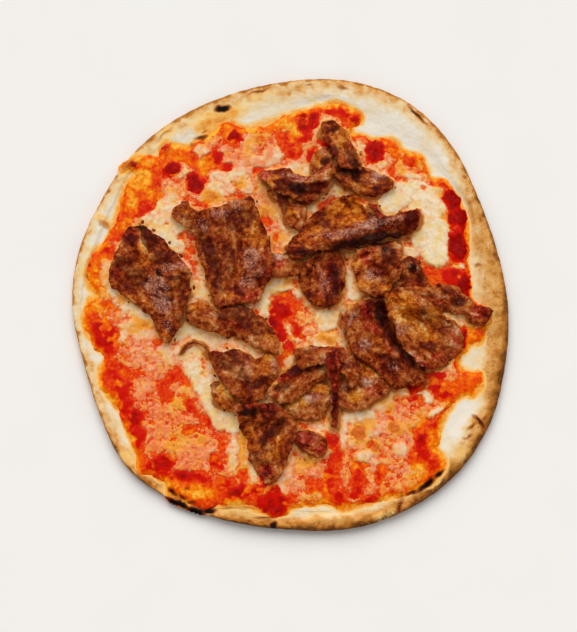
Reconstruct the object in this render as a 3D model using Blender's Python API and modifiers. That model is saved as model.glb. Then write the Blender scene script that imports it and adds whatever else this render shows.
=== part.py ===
"""A kebab pizza about 31 cm across, as it comes out of a stone oven.

A thin crust with a low uneven rim carries a layer of tomato sauce, a sheet of melted cheese with holes,
and shaved slices of kebab meat that lie over each other. Every piece is a closed solid of its own.
Metres, +Z up. The origin is on the surface that the pizza stands on, under the middle of its outline.
+Y points to the far side of the pizza, away from someone who sits at it.
"""

import math
from typing import NamedTuple

import bpy
import numpy as np
from mathutils import Matrix, Vector, noise
from mathutils.bvhtree import BVHTree

MM = 0.001
SEED_STEP = 7.3  # how far apart the noise of two seeds is taken, in lengths

# Driving sizes of the crust, in metres
BASE_THICKNESS = 5.0 * MM
RIM_HEIGHT = 9.5 * MM
RIM_SHOULDER = 11 * MM  # how far in from the outline the rim is highest
RIM_FOOT_GAP = 2 * MM  # from the edge of the sauce to where the rim starts to rise
RIM_LEAST_WIDTH = 3 * MM  # of the rise from its foot to the shoulder
CRUST_SEGMENTS = 84

# Height and length of the two sizes of unevenness along the rim
RIM_SWELL = (1.6 * MM, 34 * MM)
RIM_BLISTERS = (0.7 * MM, 11 * MM)

# The crust's section from the middle out and under, as (ring, height). A ring of 1 is the edge of the sauce
# and 2 the outline, and a height of 1 is the upper surface
CRUST_TOP_RINGS = (0, 0.4, 0.8, 1.0, 1.12, 1.25, 1.38, 1.5, 1.62, 1.74, 1.84)
CRUST_SIDE = ((1.92, 0.93), (1.98, 0.78), (2.0, 0.55), (1.97, 0.28), (1.88, 0.08), (1.76, 0))

# Reach of the outline and of the sauce from the middle, at equal steps of bearing from +X towards +Y. All
# plans below are measured from this middle, and the finished pizza is then centred on its outline
OUTLINE_REACH_MM = (
    150.5, 149, 152, 161.5, 168.5, 168, 162.5, 158.5, 157, 155.5, 152, 152,
    150.5, 147, 150, 157, 155, 153, 153, 158, 160.5, 161.5, 158.5, 153,
)
SAUCE_REACH_MM = (
    129, 130, 133, 141, 139, 141, 136, 142, 148, 138, 129, 138,
    134, 143, 144, 139, 138, 140, 141, 139, 139, 141, 147, 151,
    151, 149, 146, 145, 142, 149, 154, 154, 136, 137, 130, 135,
)

# Layers on the crust. GAP is the play that every two neighbouring solids keep
GAP = 0.35 * MM
SAUCE_THICKNESS = 1.3 * MM
SAUCE_EDGE_THICKNESS = 0.6 * MM
SAUCE_SEGMENTS = 54
SAUCE_RINGS = (0, 0.3, 0.5, 0.66, 0.8, 0.9, 0.96, 0.99)
SAUCE_RIPPLE = (0.25 * MM, 20 * MM)  # height and length
CHEESE_THICKNESS = 2.4 * MM
CHEESE_CELL = 6.2 * MM
CHEESE_DEPTH = 6 * MM  # of the uncut sheet, more than the cheese stands over the sauce
CHEESE_SHORE_HEIGHT = 0.35 * MM
CHEESE_MARGIN = 4 * MM  # from the edge of the sauce
CHEESE_SLOPE = 8 * MM  # how far in from its margin the cheese is at full height
CHEESE_WANDER = (0.3, 15 * MM)  # share and length, so that no patch stays a plain ellipse
CHEESE_LUMPS = (0.3, 12 * MM)  # share and length of its uneven thickness

# Melted cheese: middle x, y, half length and half width in mm, the turn of the length in degrees, and how
# thick the patch is next to a full puddle. Thin patches are where the cheese has sunk into the sauce
CHEESE_PATCHES = (
    (86, 57, 33, 23, 95, 1.0),
    (101, 36, 12, 8, 0, 1.3),
    (83, 97, 15, 10, 30, 0.5),
    (28, 85, 13, 10, 0, 0.9),
    (-28, 107, 37, 15, 5, 0.8),
    (-36, 83, 19, 13, 0, 1.0),
    (-81, 57, 21, 17, 100, 1.0),
    (-76, 92, 24, 18, 40, 0.5),
    (-15, 58, 23, 10, 90, 0.8),
    (-7, 2, 24, 23, 0, 0.9),
    (22, -13, 18, 14, 90, 1.1),
    (41, 15, 18, 8, 95, 1.0),
    (-109, -1, 22, 15, -15, 0.8),
    (-63, 2, 34, 12, 90, 1.0),
    (-53, -75, 50, 12, -68, 1.0),
    (-78, -88, 38, 30, 120, 0.5),
    (-93, -34, 19, 13, 0, 0.5),
    (-24, -71, 19, 7, 0, 1.0),
    (1, -104, 20, 7, 90, 0.9),
    (14, -116, 24, 17, 90, 0.5),
    (47, -86, 22, 19, 90, 1.0),
    (83, -86, 32, 22, 70, 0.55),
    (55, -116, 27, 18, 10, 0.5),
    (35, 15, 58, 55, 0, 0.7),
    (45, -40, 48, 36, 0, 0.7),
    (-40, 32, 26, 42, 0, 0.7),
    (-30, -50, 28, 22, 0, 0.7),
    (-97, 20, 22, 32, 0, 0.6),
)

# Holes where the sauce shows: middle x, y, half length, half width in mm, and the turn in degrees
CHEESE_HOLES = (
    (-6, -9, 15, 8, 95),
    (2, 112, 13, 7, 110),
    (-86, 96, 9, 7, 0),
    (-66, 85, 8, 6, 0),
    (-67, 38, 13, 5, 90),
    (-52, -116, 24, 7, 10),
)

# Kebab meat
SLICE_THICKNESS = 1.9 * MM
SLICE_CELL = 5.5 * MM
SLICE_CRUMPLE = (1.0 * MM, 12 * MM)  # height and length
SLICE_FRAY = (0.9 * MM, 7 * MM)  # how far the torn edges stray, and over what length
FOLD_WIDTH = 6 * MM
DRAPE_STIFFNESS = 6 * MM  # how far a slice bridges over what is lower
DRAPE_SOFTENING = 4 * MM
RAY_HEIGHT = 0.1  # above all of the pizza


class Slice(NamedTuple):
    """A slice of meat in plan, in mm: two long edges that run the same way, and its folds.

    A fold is a ridge along a line: its two ends and its height.
    """

    name: str
    left: tuple
    right: tuple
    folds: tuple


# The slices, from the lowest to the highest
SLICES = (
    Slice(
        "scrap",
        ((-81, 67), (-76, 70), (-70, 72), (-68, 68)),
        ((-81, 64), (-76, 60), (-71, 57), (-67, 57)),
        ((-80, 66, -69, 66, 1),),
    ),
    Slice(
        "link",
        ((-15, 36), (-7, 36), (1, 34), (7, 33)),
        ((-15, 22), (-7, 21), (1, 22), (7, 24)),
        ((-14, 25, 6, 27, 2),),
    ),
    Slice(
        "tongue",
        ((-14, 82), (-8, 73), (-4, 64), (0, 56)),
        ((8, 80), (10, 72), (10, 64), (7, 54)),
        ((-6, 80, 2, 58, 3),),
    ),
    Slice(
        "purple",
        ((3, -89), (8, -86), (15, -87), (22, -90), (26, -95)),
        ((4, -96), (9, -101), (15, -104), (21, -103), (26, -99)),
        ((6, -92, 24, -97, 1),),
    ),
    Slice(
        "hem",
        ((-53, -55), (-47, -54), (-40, -60), (-32, -66)),
        ((-52, -62), (-48, -68), (-40, -72), (-32, -71)),
        ((-51, -60, -47, -66, 2),),
    ),
    Slice(
        "knuckle",
        ((71, 23), (75, 30), (83, 33), (88, 29), (92, 20)),
        ((72, 13), (77, 8), (83, 6), (90, 8), (94, 12)),
        ((76, 27, 89, 25, 3), (75, 12, 90, 11, 1)),
    ),
    Slice(
        "fringe",
        ((-5, -64), (3, -60), (14, -56), (22, -54), (26, -57)),
        ((-4, -71), (3, -76), (12, -78), (21, -75), (26, -68)),
        ((0, -67, 20, -66, 1),),
    ),
    Slice(
        "pale",
        ((37, -1), (36, -9), (37, -18), (40, -26)),
        ((46, 0), (49, -8), (50, -16), (48, -25)),
        ((41, -2, 42, -24, 3),),
    ),
    Slice(
        "hinge",
        ((43, 29), (48, 37), (56, 42), (66, 44), (76, 42)),
        ((46, 19), (51, 11), (59, 7), (68, 12), (75, 23)),
        ((48, 24, 58, 12, 2), (60, 38, 70, 22, 3)),
    ),
    Slice(
        "arm",
        ((77, 9), (90, 12), (103, 14), (114, 12), (124, 3), (131, -1), (139, -3)),
        ((79, 2), (90, -2), (103, -3), (114, -3), (121, -5), (127, -11), (134, -13)),
        ((80, 6, 114, 5, 3), (122, -1, 136, -8, 2)),
    ),
    Slice(
        "lower",
        ((-55, -33), (-47, -35), (-39, -31), (-30, -33), (-22, -38), (-12, -33)),
        ((-52, -42), (-46, -52), (-39, -61), (-30, -67), (-21, -64), (-10, -51)),
        ((-50, -38, -36, -60, 3), (-14, -36, -16, -58, 3), (-36, -62, -14, -60, 2)),
    ),
    Slice(
        "strip",
        ((-70, -2), (-65, 1), (-58, -1), (-52, -6), (-43, -1), (-32, -2), (-22, -8), (-14, -16), (-9, -25)),
        ((-69, -8), (-62, -13), (-54, -16), (-45, -18), (-36, -20), (-28, -25), (-21, -29), (-11, -33)),
        ((-66, -4, -52, -11, 2), (-42, -8, -14, -24, 3)),
    ),
    Slice(
        "leaf",
        ((-123, 19), (-122, 30), (-115, 44), (-108, 56), (-95, 50), (-81, 38), (-70, 24)),
        ((-122, 14), (-112, 7), (-99, -2), (-91, -12), (-85, -25), (-77, -12), (-70, 9)),
        ((-108, 48, -90, 12, 4), (-73, 27, -90, 10, 4), (-74, 4, -83, -20, 3), (-120, 22, -112, 40, 2)),
    ),
    Slice(
        "broad",
        ((-68, 63), (-65, 51), (-63, 38), (-58, 24), (-54, 12), (-49, 0)),
        ((-28, 76), (-23, 63), (-17, 48), (-14, 33), (-16, 18), (-23, 4)),
        ((-32, 70, -20, 20, 4), (-64, 58, -52, 8, 2), (-60, 60, -34, 66, 2)),
    ),
    Slice(
        "foot",
        ((-36, -71), (-33, -81), (-28, -90), (-28, -100), (-24, -110), (-15, -121)),
        ((-9, -69), (3, -81), (1, -93), (-3, -103), (-5, -111), (-10, -120)),
        ((-34, -76, -6, -77, 4), (-2, -84, -20, -96, 3)),
    ),
    Slice(
        "lobe",
        ((30, 97), (39, 100), (48, 99), (59, 95), (66, 92), (72, 89)),
        ((30, 92), (37, 86), (46, 80), (54, 78), (63, 80), (71, 85)),
        ((34, 90, 54, 81, 2), (56, 82, 70, 87, 2)),
    ),
    Slice(
        "tuck",
        ((26, 114), (19, 108), (15, 99), (18, 92)),
        ((30, 110), (29, 101), (28, 94), (23, 89)),
        ((25, 110, 18, 95, 2),),
    ),
    Slice(
        "crown",
        ((23, 131), (21, 123), (26, 114), (30, 106), (35, 96)),
        ((29, 132), (36, 125), (42, 115), (47, 106), (49, 96)),
        ((25, 129, 34, 118, 3), (38, 118, 44, 100, 3)),
    ),
    Slice(
        "shelf",
        ((-21, 94), (-12, 96), (-3, 97), (6, 92), (15, 90), (24, 95), (30, 98)),
        ((-18, 87), (-10, 81), (-1, 77), (7, 74), (15, 74), (22, 82), (31, 93)),
        ((-14, 91, 4, 86, 3), (4, 86, 20, 84, 4)),
    ),
    Slice(
        "button",
        ((19, 40), (12, 31), (6, 22), (9, 11), (17, 1)),
        ((29, 42), (35, 33), (37, 20), (34, 8), (28, -1)),
        ((28, 38, 32, 20, 3), (32, 20, 26, 4, 3), (12, 24, 18, 8, 2)),
    ),
    Slice(
        "under",
        ((32, -33), (40, -34), (50, -39), (59, -46), (66, -53)),
        ((33, -67), (41, -71), (50, -69), (57, -65), (65, -60)),
        ((36, -40, 60, -54, 2), (46, -44, 48, -66, 2)),
    ),
    Slice(
        "band",
        ((-14, -60), (-7, -51), (1, -44), (10, -39), (19, -34), (26, -33)),
        ((-7, -68), (1, -65), (8, -60), (16, -54), (22, -50), (26, -44)),
        ((-9, -62, 14, -46, 3), (-8, -58, 6, -44, 1)),
    ),
    Slice(
        "bridge",
        ((4, -34), (12, -31), (22, -30), (32, -31), (40, -36), (46, -44)),
        ((7, -43), (14, -41), (22, -40), (30, -41), (36, -47), (43, -57)),
        ((8, -38, 30, -35, 2), (30, -35, 43, -50, 3)),
    ),
    Slice(
        "fold",
        ((51, 2), (47, -9), (41, -20), (43, -32), (57, -43), (72, -57)),
        ((63, 3), (66, -6), (70, -18), (77, -29), (86, -39), (93, -51)),
        ((58, 1, 60, -18, 4), (60, -18, 84, -50, 3), (46, -14, 50, -34, 2)),
    ),
    Slice(
        "shoulder",
        ((65, 8), (66, -2), (70, -13), (75, -25), (81, -34), (90, -44)),
        ((77, 10), (93, 2), (108, -9), (117, -16), (117, -29), (103, -43)),
        ((68, 4, 76, -24, 3), (76, -24, 92, -40, 3), (90, -2, 114, -22, 2)),
    ),
    Slice(
        "ridge",
        ((-3, 40), (7, 52), (18, 66), (32, 74), (44, 78), (54, 66), (65, 61), (77, 64), (89, 67)),
        ((0, 34), (10, 34), (21, 39), (32, 40), (44, 41), (57, 45), (69, 48), (79, 50), (87, 56)),
        ((6, 42, 34, 47, 5), (34, 47, 62, 57, 6), (62, 57, 84, 61, 5)),
    ),
    Slice(
        "splinter",
        ((24, -34), (26, -46), (28, -57), (28, -69), (28, -83)),
        ((31, -33), (33, -44), (33, -57), (33, -69), (32, -84)),
        ((28, -36, 30, -82, 1),),
    ),
    Slice(
        "flake",
        ((54, 71), (57, 65), (61, 59)),
        ((59, 71), (62, 65), (65, 59)),
        ((57, 70, 63, 60, 0.5),),
    ),
)

# The thin curled shaving left of the lower slice: its route in mm, and its half thickness
CURL_ROUTE = ((-75, -33), (-72, -28), (-67, -25), (-61, -26), (-57, -30), (-55, -34))
CURL_RADIUS = 1.1 * MM
CURL_POINTS = 12

# Colour, roughness and metallic value of each material
CRUST_COLOUR = (0.84, 0.62, 0.38)
SAUCE_COLOUR = (0.62, 0.05, 0.01)
CHEESE_COLOUR = (0.86, 0.72, 0.45)
MEAT_COLOUR = (0.20, 0.07, 0.03)


def reach_at(reaches_mm, bearing):
    """The reach in metres at a bearing in radians, on a smooth curve through equally spaced reaches."""
    values = np.asarray(reaches_mm, float) * MM
    count = len(values)
    place = np.asarray(bearing) / (2 * math.pi) * count % count
    first = np.floor(place).astype(int)
    t = place - first
    a, b, c, d = (values[(first + step) % count] for step in (-1, 0, 1, 2))
    return 0.5 * (2 * b + (c - a) * t + (2 * a - 5 * b + 4 * c - d) * t**2 + (3 * (b - c) + d - a) * t**3)


def smooth_step(low, high, value):
    """0 below low, 1 above high, and an even S between them."""
    t = np.clip((value - low) / (high - low), 0, 1)
    return t * t * (3 - 2 * t)


def waves(x, y, size, seed):
    """Even noise over the plan. Its size is how much it strays from 0, and the length of its features."""
    amount, length = size
    values = [
        noise.noise(Vector((float(px) / length, float(py) / length, SEED_STEP * seed)))
        for px, py in zip(x, y)
    ]
    return amount * np.array(values)


def points_of(obj):
    """The mesh's points as an array of x, y, z rows."""
    flat = np.empty(len(obj.data.vertices) * 3)
    obj.data.vertices.foreach_get("co", flat)
    return flat.reshape(-1, 3)


def move_points(obj, points):
    """Puts the mesh's points where the array says."""
    obj.data.vertices.foreach_set("co", np.asarray(points, float).ravel())
    obj.data.update()


def apply_modifiers(obj):
    """Makes the object's modifiers part of its mesh."""
    bpy.context.view_layer.objects.active = obj
    for modifier in list(obj.modifiers):
        bpy.ops.object.modifier_apply(modifier=modifier.name)


def turned(name, profile, segments):
    """A mesh turned about +Z from a profile of (radius, height) points that runs down its outer side."""
    mesh = bpy.data.meshes.new(name)
    edges = [(i, i + 1) for i in range(len(profile) - 1)]
    mesh.from_pydata([(radius, 0, height) for radius, height in profile], edges, [])
    obj = bpy.data.objects.new(name, mesh)
    pizza.objects.link(obj)
    screw = obj.modifiers.new("turn", "SCREW")
    screw.steps = screw.render_steps = segments
    screw.use_merge_vertices = True
    screw.merge_threshold = 0.1 * MM
    apply_modifiers(obj)
    return obj


def finish(obj, material):
    """Gives a solid its material, and smooth shading with sharp edges kept."""
    obj.data.materials.clear()
    obj.data.materials.append(material)
    obj.data.shade_smooth()
    obj.data.set_sharp_from_angle(angle=math.radians(50))


def food_material(name, colour, roughness):
    """A Principled material for one ingredient."""
    material = bpy.data.materials.new(name)
    material.use_nodes = True
    shader = material.node_tree.nodes["Principled BSDF"]
    shader.inputs["Base Color"].default_value = (*colour, 1)
    shader.inputs["Roughness"].default_value = roughness
    shader.inputs["Metallic"].default_value = 0
    return material


def crust_top(x, y):
    """The height of the crust's upper surface: flat under the sauce, rising to a low uneven rim."""
    bearing = np.arctan2(y, x)
    radius = np.hypot(x, y)
    foot = reach_at(SAUCE_REACH_MM, bearing) + RIM_FOOT_GAP
    crest = np.maximum(reach_at(OUTLINE_REACH_MM, bearing) - RIM_SHOULDER, foot + RIM_LEAST_WIDTH)
    swell = waves(x, y, RIM_SWELL, 1) + waves(x, y, RIM_BLISTERS, 2)
    return BASE_THICKNESS + smooth_step(foot, crest, radius) * (RIM_HEIGHT - BASE_THICKNESS + swell)


def build_crust():
    """The crust: a turned template whose rings are then moved to the outline and the rim's height."""
    profile = [(ring, 1) for ring in CRUST_TOP_RINGS] + list(CRUST_SIDE) + [(0, 0)]
    crust = turned("crust", profile, CRUST_SEGMENTS)
    template = points_of(crust)
    ring = np.hypot(template[:, 0], template[:, 1])
    bearing = np.arctan2(template[:, 1], template[:, 0])
    sauce = reach_at(SAUCE_REACH_MM, bearing)
    outline = reach_at(OUTLINE_REACH_MM, bearing)
    radius = np.where(ring <= 1, ring * sauce, sauce + (ring - 1) * (outline - sauce))
    x, y = radius * np.cos(bearing), radius * np.sin(bearing)
    move_points(crust, np.column_stack([x, y, template[:, 2] * crust_top(x, y)]))
    return crust


def build_sauce():
    """The tomato sauce: a thin sheet on the flat of the crust, with an uneven top and a thin edge."""
    profile = [(ring, 1) for ring in SAUCE_RINGS] + [(SAUCE_RINGS[-1], 0), (0, 0)]
    sauce = turned("sauce", profile, SAUCE_SEGMENTS)
    template = points_of(sauce)
    ring = np.hypot(template[:, 0], template[:, 1])
    bearing = np.arctan2(template[:, 1], template[:, 0])
    radius = ring * reach_at(SAUCE_REACH_MM, bearing)
    x, y = radius * np.cos(bearing), radius * np.sin(bearing)
    middle_thickness = SAUCE_THICKNESS + waves(x, y, SAUCE_RIPPLE, 3)
    thick = np.where(ring > SAUCE_RINGS[-2] + 0.01, SAUCE_EDGE_THICKNESS, middle_thickness)
    move_points(sauce, np.column_stack([x, y, BASE_THICKNESS + GAP + template[:, 2] * thick]))
    return sauce


def from_middle(x, y, middle_x, middle_y, half_length, half_width, turn):
    """How far places are from the middle of an ellipse, where 1 is on it, squared. Sizes are in mm."""
    angle = math.radians(turn)
    dx, dy = x - middle_x * MM, y - middle_y * MM
    along = (dx * math.cos(angle) + dy * math.sin(angle)) / (half_length * MM)
    across = (dy * math.cos(angle) - dx * math.sin(angle)) / (half_width * MM)
    return along**2 + across**2


def cheese_height(x, y):
    """The cheese's height over the sauce next to a full puddle's, and below 0 where there is no cheese."""
    wander = waves(x, y, CHEESE_WANDER, 4)
    height = np.full(np.shape(x), -1.0)
    for *ellipse, share in CHEESE_PATCHES:
        inside = 1 - from_middle(x, y, *ellipse) + wander
        height = np.maximum(height, np.where(inside > 0, share * np.sqrt(np.abs(inside)), inside))
    for ellipse in CHEESE_HOLES:
        height = np.minimum(height, from_middle(x, y, *ellipse) - 1 + wander)
    from_margin = reach_at(SAUCE_REACH_MM, np.arctan2(y, x)) - np.hypot(x, y) - CHEESE_MARGIN
    return np.minimum(height, from_margin / CHEESE_SLOPE) * (1 + waves(x, y, CHEESE_LUMPS, 5))


def build_cheese(floor_height):
    """The melted cheese: a wavy sheet cut off flat just above the sauce, so that its shores are round.

    Where the field falls below 0 the sheet dips under the cut, which leaves holes and bays.
    """
    half = max(OUTLINE_REACH_MM) * MM
    cells = round(2 * half / CHEESE_CELL)
    bpy.ops.mesh.primitive_grid_add(x_subdivisions=cells, y_subdivisions=cells, size=2 * half)
    cheese = bpy.context.object
    cheese.name = cheese.data.name = "cheese"
    move_to(cheese, pizza)
    x, y, _ = points_of(cheese).T
    height = CHEESE_THICKNESS * cheese_height(x, y)
    move_points(cheese, np.column_stack([x, y, floor_height + CHEESE_SHORE_HEIGHT + height]))
    thick = cheese.modifiers.new("depth", "SOLIDIFY")
    thick.thickness = CHEESE_DEPTH
    thick.offset = -1
    bpy.ops.mesh.primitive_cube_add(size=1, location=(0, 0, floor_height + CHEESE_DEPTH))
    cutter = bpy.context.object
    cutter.name = "cheese_space"
    cutter.scale = (3 * half, 3 * half, 2 * CHEESE_DEPTH)
    bpy.ops.object.transform_apply(location=False, rotation=False, scale=True)
    move_to(cutter, cutters)
    cutter.display_type = "WIRE"
    cutter.hide_render = True
    cut = cheese.modifiers.new("shore", "BOOLEAN")
    cut.operation = "INTERSECT"
    cut.object = cutter
    apply_modifiers(cheese)
    keep_largest(cheese)
    return cheese


def move_to(obj, collection):
    """Puts the object in one collection only."""
    for other in list(obj.users_collection):
        other.objects.unlink(obj)
    collection.objects.link(obj)


def keep_largest(obj):
    """Drops every loose scrap of the mesh but the one with the most faces."""
    for other in bpy.context.selected_objects:
        other.select_set(False)
    obj.select_set(True)
    bpy.context.view_layer.objects.active = obj
    bpy.ops.object.mode_set(mode="EDIT")
    bpy.ops.mesh.separate(type="LOOSE")
    bpy.ops.object.mode_set(mode="OBJECT")
    pieces = sorted(bpy.context.selected_objects, key=lambda piece: len(piece.data.polygons))
    keeper = pieces.pop()
    if keeper is not obj:
        obj.data, keeper.data = keeper.data, obj.data
        pieces = [piece for piece in pieces if piece is not obj] + [keeper]
    for piece in pieces:
        bpy.data.objects.remove(piece)


class Ground:
    """The height of all that lies on the table so far, on a grid of 1 mm, for the next piece to lie on."""

    def __init__(self):
        self.half = 176
        line = np.arange(-self.half, self.half + 1) * MM
        self.x, self.y = np.meshgrid(line, line, indexing="ij")
        self.height = np.zeros_like(self.x)

    def shifted(self, values, radius):
        """The values moved by every whole step within a radius, one array at a time."""
        steps = int(radius / MM)
        for i in range(-steps, steps + 1):
            for j in range(-steps, steps + 1):
                if i * i + j * j <= steps * steps:
                    yield np.roll(values, (i, j), axis=(0, 1))

    def drape(self):
        """The height of a stiff soft sheet that lies on the ground: it spans hollows and rounds off steps."""
        bridged = self.height
        for moved in self.shifted(self.height, DRAPE_STIFFNESS):
            bridged = np.maximum(bridged, moved)
        count, total = 0, np.zeros_like(bridged)
        for moved in self.shifted(bridged, DRAPE_SOFTENING):
            count, total = count + 1, total + moved
        return total / count

    def under(self, obj):
        """Each grid point that the solid or sheet covers, with a ray's first hit on it from above."""
        points = points_of(obj)
        faces = [list(face.vertices) for face in obj.data.polygons]
        tree = BVHTree.FromPolygons([Vector(point) for point in points], faces)
        low = np.floor(points.min(0)[:2] / MM).astype(int) + self.half
        high = np.ceil(points.max(0)[:2] / MM).astype(int) + self.half
        down = Vector((0, 0, -1))
        for i in range(max(low[0], 0), min(high[0], 2 * self.half) + 1):
            for j in range(max(low[1], 0), min(high[1], 2 * self.half) + 1):
                hit = tree.ray_cast(Vector((self.x[i, j], self.y[i, j], RAY_HEIGHT)), down)[0]
                if hit is not None:
                    yield i, j, hit.z

    def add(self, obj):
        """Raises the ground to the top of a solid, wherever the solid covers it."""
        for i, j, top in self.under(obj):
            self.height[i, j] = max(self.height[i, j], top)

    def lift_clear(self, sheet):
        """Lifts a sheet until it keeps the gap everywhere, in case a facet cuts a corner."""
        short = max((self.height[i, j] + GAP - bottom for i, j, bottom in self.under(sheet)), default=0)
        if short > 0:
            move_points(sheet, points_of(sheet) + (0, 0, short))

    def sample(self, values, x, y):
        """The values at places between the grid's own, mixed from the four nearest."""
        u, v = x / MM + self.half, y / MM + self.half
        i, j = np.floor(u).astype(int), np.floor(v).astype(int)
        s, t = u - i, v - j
        return (
            values[i, j] * (1 - s) * (1 - t)
            + values[i + 1, j] * s * (1 - t)
            + values[i, j + 1] * (1 - s) * t
            + values[i + 1, j + 1] * s * t
        )


def along_curve(points_mm, shares):
    """Places on a smooth curve through the points, at shares of its length from 0 to 1, in metres."""
    points = np.array(points_mm, float) * MM
    lengths = np.concatenate([[0], np.cumsum(np.hypot(*np.diff(points, axis=0).T))])
    first = np.clip(np.searchsorted(lengths, shares * lengths[-1], side="right") - 1, 0, len(points) - 2)
    t = ((shares * lengths[-1] - lengths[first]) / (lengths[first + 1] - lengths[first]))[..., None]
    padded = np.vstack([2 * points[0] - points[1], points, 2 * points[-1] - points[-2]])
    a, b, c, d = (padded[first + step] for step in range(4))
    return 0.5 * (2 * b + (c - a) * t + (2 * a - 5 * b + 4 * c - d) * t**2 + (3 * (b - c) + d - a) * t**3)


def fold_height(x, y, fold):
    """The height that one fold adds at each place: a soft ridge along its line."""
    x1, y1, x2, y2, height = (value * MM for value in fold)
    run = np.array([x2 - x1, y2 - y1])
    along = np.clip(((x - x1) * run[0] + (y - y1) * run[1]) / (run @ run), 0, 1)
    aside = np.hypot(x - x1 - along * run[0], y - y1 - along * run[1])
    return height * np.exp(-((aside / FOLD_WIDTH) ** 2))


def build_slice(ground, number, cut):
    """One slice of meat: a grid between its two edges, laid on the ground, folded, and made thick."""
    length = max(np.hypot(*np.diff(np.array(edge), axis=0).T).sum() for edge in (cut.left, cut.right))
    width = np.hypot(*(along_curve(cut.left, np.array([0.5])) - along_curve(cut.right, np.array([0.5])))[0])
    rows = max(round(length * MM / SLICE_CELL), 3)
    columns = max(round(width / SLICE_CELL), 2)
    bpy.ops.mesh.primitive_grid_add(x_subdivisions=rows, y_subdivisions=columns, size=1)
    meat = bpy.context.object
    meat.name = meat.data.name = f"meat_{cut.name}"
    move_to(meat, pizza)
    along, across = points_of(meat).T[:2] + 0.5
    left, right = along_curve(cut.left, along), along_curve(cut.right, along)
    x, y = (left + across[:, None] * (right - left)).T
    stray_x, stray_y = waves(x, y, SLICE_FRAY, 20 + number), waves(x, y, SLICE_FRAY, 60 + number)
    x, y = x + stray_x, y + stray_y
    crumpled = (SLICE_CRUMPLE[0] + waves(x, y, SLICE_CRUMPLE, 100 + number)) / 2
    folded = np.max([fold_height(x, y, fold) for fold in cut.folds], axis=0)
    lying = ground.sample(ground.drape(), x, y) + GAP
    move_points(meat, np.column_stack([x, y, lying + folded + crumpled]))
    ground.lift_clear(meat)
    if face_up(meat) < 0:
        meat.data.flip_normals()
    thick = meat.modifiers.new("thickness", "SOLIDIFY")
    thick.thickness = SLICE_THICKNESS
    thick.offset = 1
    apply_modifiers(meat)
    ground.add(meat)
    return meat


def face_up(obj):
    """Above 0 when the mesh's faces look up on the whole, and below 0 when they look down."""
    return sum(face.normal.z * face.area for face in obj.data.polygons)


def build_curl(ground):
    """The thin shaving that lies curled on the cheese: a bent tube along a smooth line."""
    curve = bpy.data.curves.new("meat_curl", "CURVE")
    curve.dimensions = "3D"
    curve.bevel_depth = CURL_RADIUS
    curve.bevel_resolution = 1
    curve.use_fill_caps = True
    spline = curve.splines.new("POLY")
    spline.points.add(CURL_POINTS - 1)
    x, y = along_curve(CURL_ROUTE, np.linspace(0, 1, CURL_POINTS)).T
    z = ground.sample(ground.drape(), x, y) + GAP + CURL_RADIUS
    spline.points.foreach_set("co", np.column_stack([x, y, z, np.ones(CURL_POINTS)]).ravel())
    curl = bpy.data.objects.new("meat_curl", curve)
    pizza.objects.link(curl)
    return curl


def centre_on_outline(objects):
    """Moves the pizza so that the middle of its outline stands over the origin."""
    crust_points = points_of(bpy.data.objects["crust"])
    middle = (crust_points.min(0) + crust_points.max(0)) / 2
    shift = Matrix.Translation((-middle[0], -middle[1], -crust_points[:, 2].min()))
    for obj in objects:
        obj.data.transform(shift)


for old in list(bpy.data.objects):
    bpy.data.objects.remove(old)
pizza = bpy.data.collections.new("kebab_pizza")
cutters = bpy.data.collections.new("cutters")
for made in (pizza, cutters):
    bpy.context.scene.collection.children.link(made)

dough_material = food_material("baked_dough", CRUST_COLOUR, 0.8)
sauce_material = food_material("tomato_sauce", SAUCE_COLOUR, 0.3)
cheese_material = food_material("melted_cheese", CHEESE_COLOUR, 0.4)
meat_material = food_material("kebab_meat", MEAT_COLOUR, 0.5)

crust = build_crust()
finish(crust, dough_material)
sauce = build_sauce()
finish(sauce, sauce_material)
cheese = build_cheese(points_of(sauce)[:, 2].max() + GAP)
finish(cheese, cheese_material)

ground = Ground()
for layer in (crust, sauce, cheese):
    ground.add(layer)
for number, cut in enumerate(SLICES):
    finish(build_slice(ground, number, cut), meat_material)
curl = build_curl(ground)
curl.data.materials.append(meat_material)

centre_on_outline(pizza.objects)
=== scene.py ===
import math

import bpy
import numpy as np
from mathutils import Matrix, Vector, noise
from mathutils.bvhtree import BVHTree


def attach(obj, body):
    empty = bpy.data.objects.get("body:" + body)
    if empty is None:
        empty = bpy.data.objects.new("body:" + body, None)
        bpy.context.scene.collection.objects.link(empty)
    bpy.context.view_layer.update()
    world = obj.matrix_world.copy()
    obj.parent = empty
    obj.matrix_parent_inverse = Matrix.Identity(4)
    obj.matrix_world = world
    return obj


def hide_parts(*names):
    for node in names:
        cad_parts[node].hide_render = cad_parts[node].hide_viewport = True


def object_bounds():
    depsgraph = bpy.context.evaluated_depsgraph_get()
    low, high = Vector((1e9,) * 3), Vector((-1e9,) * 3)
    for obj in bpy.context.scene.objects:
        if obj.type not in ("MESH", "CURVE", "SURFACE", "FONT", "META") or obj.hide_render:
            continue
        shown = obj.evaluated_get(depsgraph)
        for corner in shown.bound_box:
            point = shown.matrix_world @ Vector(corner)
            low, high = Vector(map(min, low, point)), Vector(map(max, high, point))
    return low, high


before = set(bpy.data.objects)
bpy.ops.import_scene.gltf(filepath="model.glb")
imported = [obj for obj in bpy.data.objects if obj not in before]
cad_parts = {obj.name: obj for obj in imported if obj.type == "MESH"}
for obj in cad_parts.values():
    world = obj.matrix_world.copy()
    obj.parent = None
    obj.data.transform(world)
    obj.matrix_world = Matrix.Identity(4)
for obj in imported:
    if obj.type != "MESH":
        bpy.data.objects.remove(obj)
cad_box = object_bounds()

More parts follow.
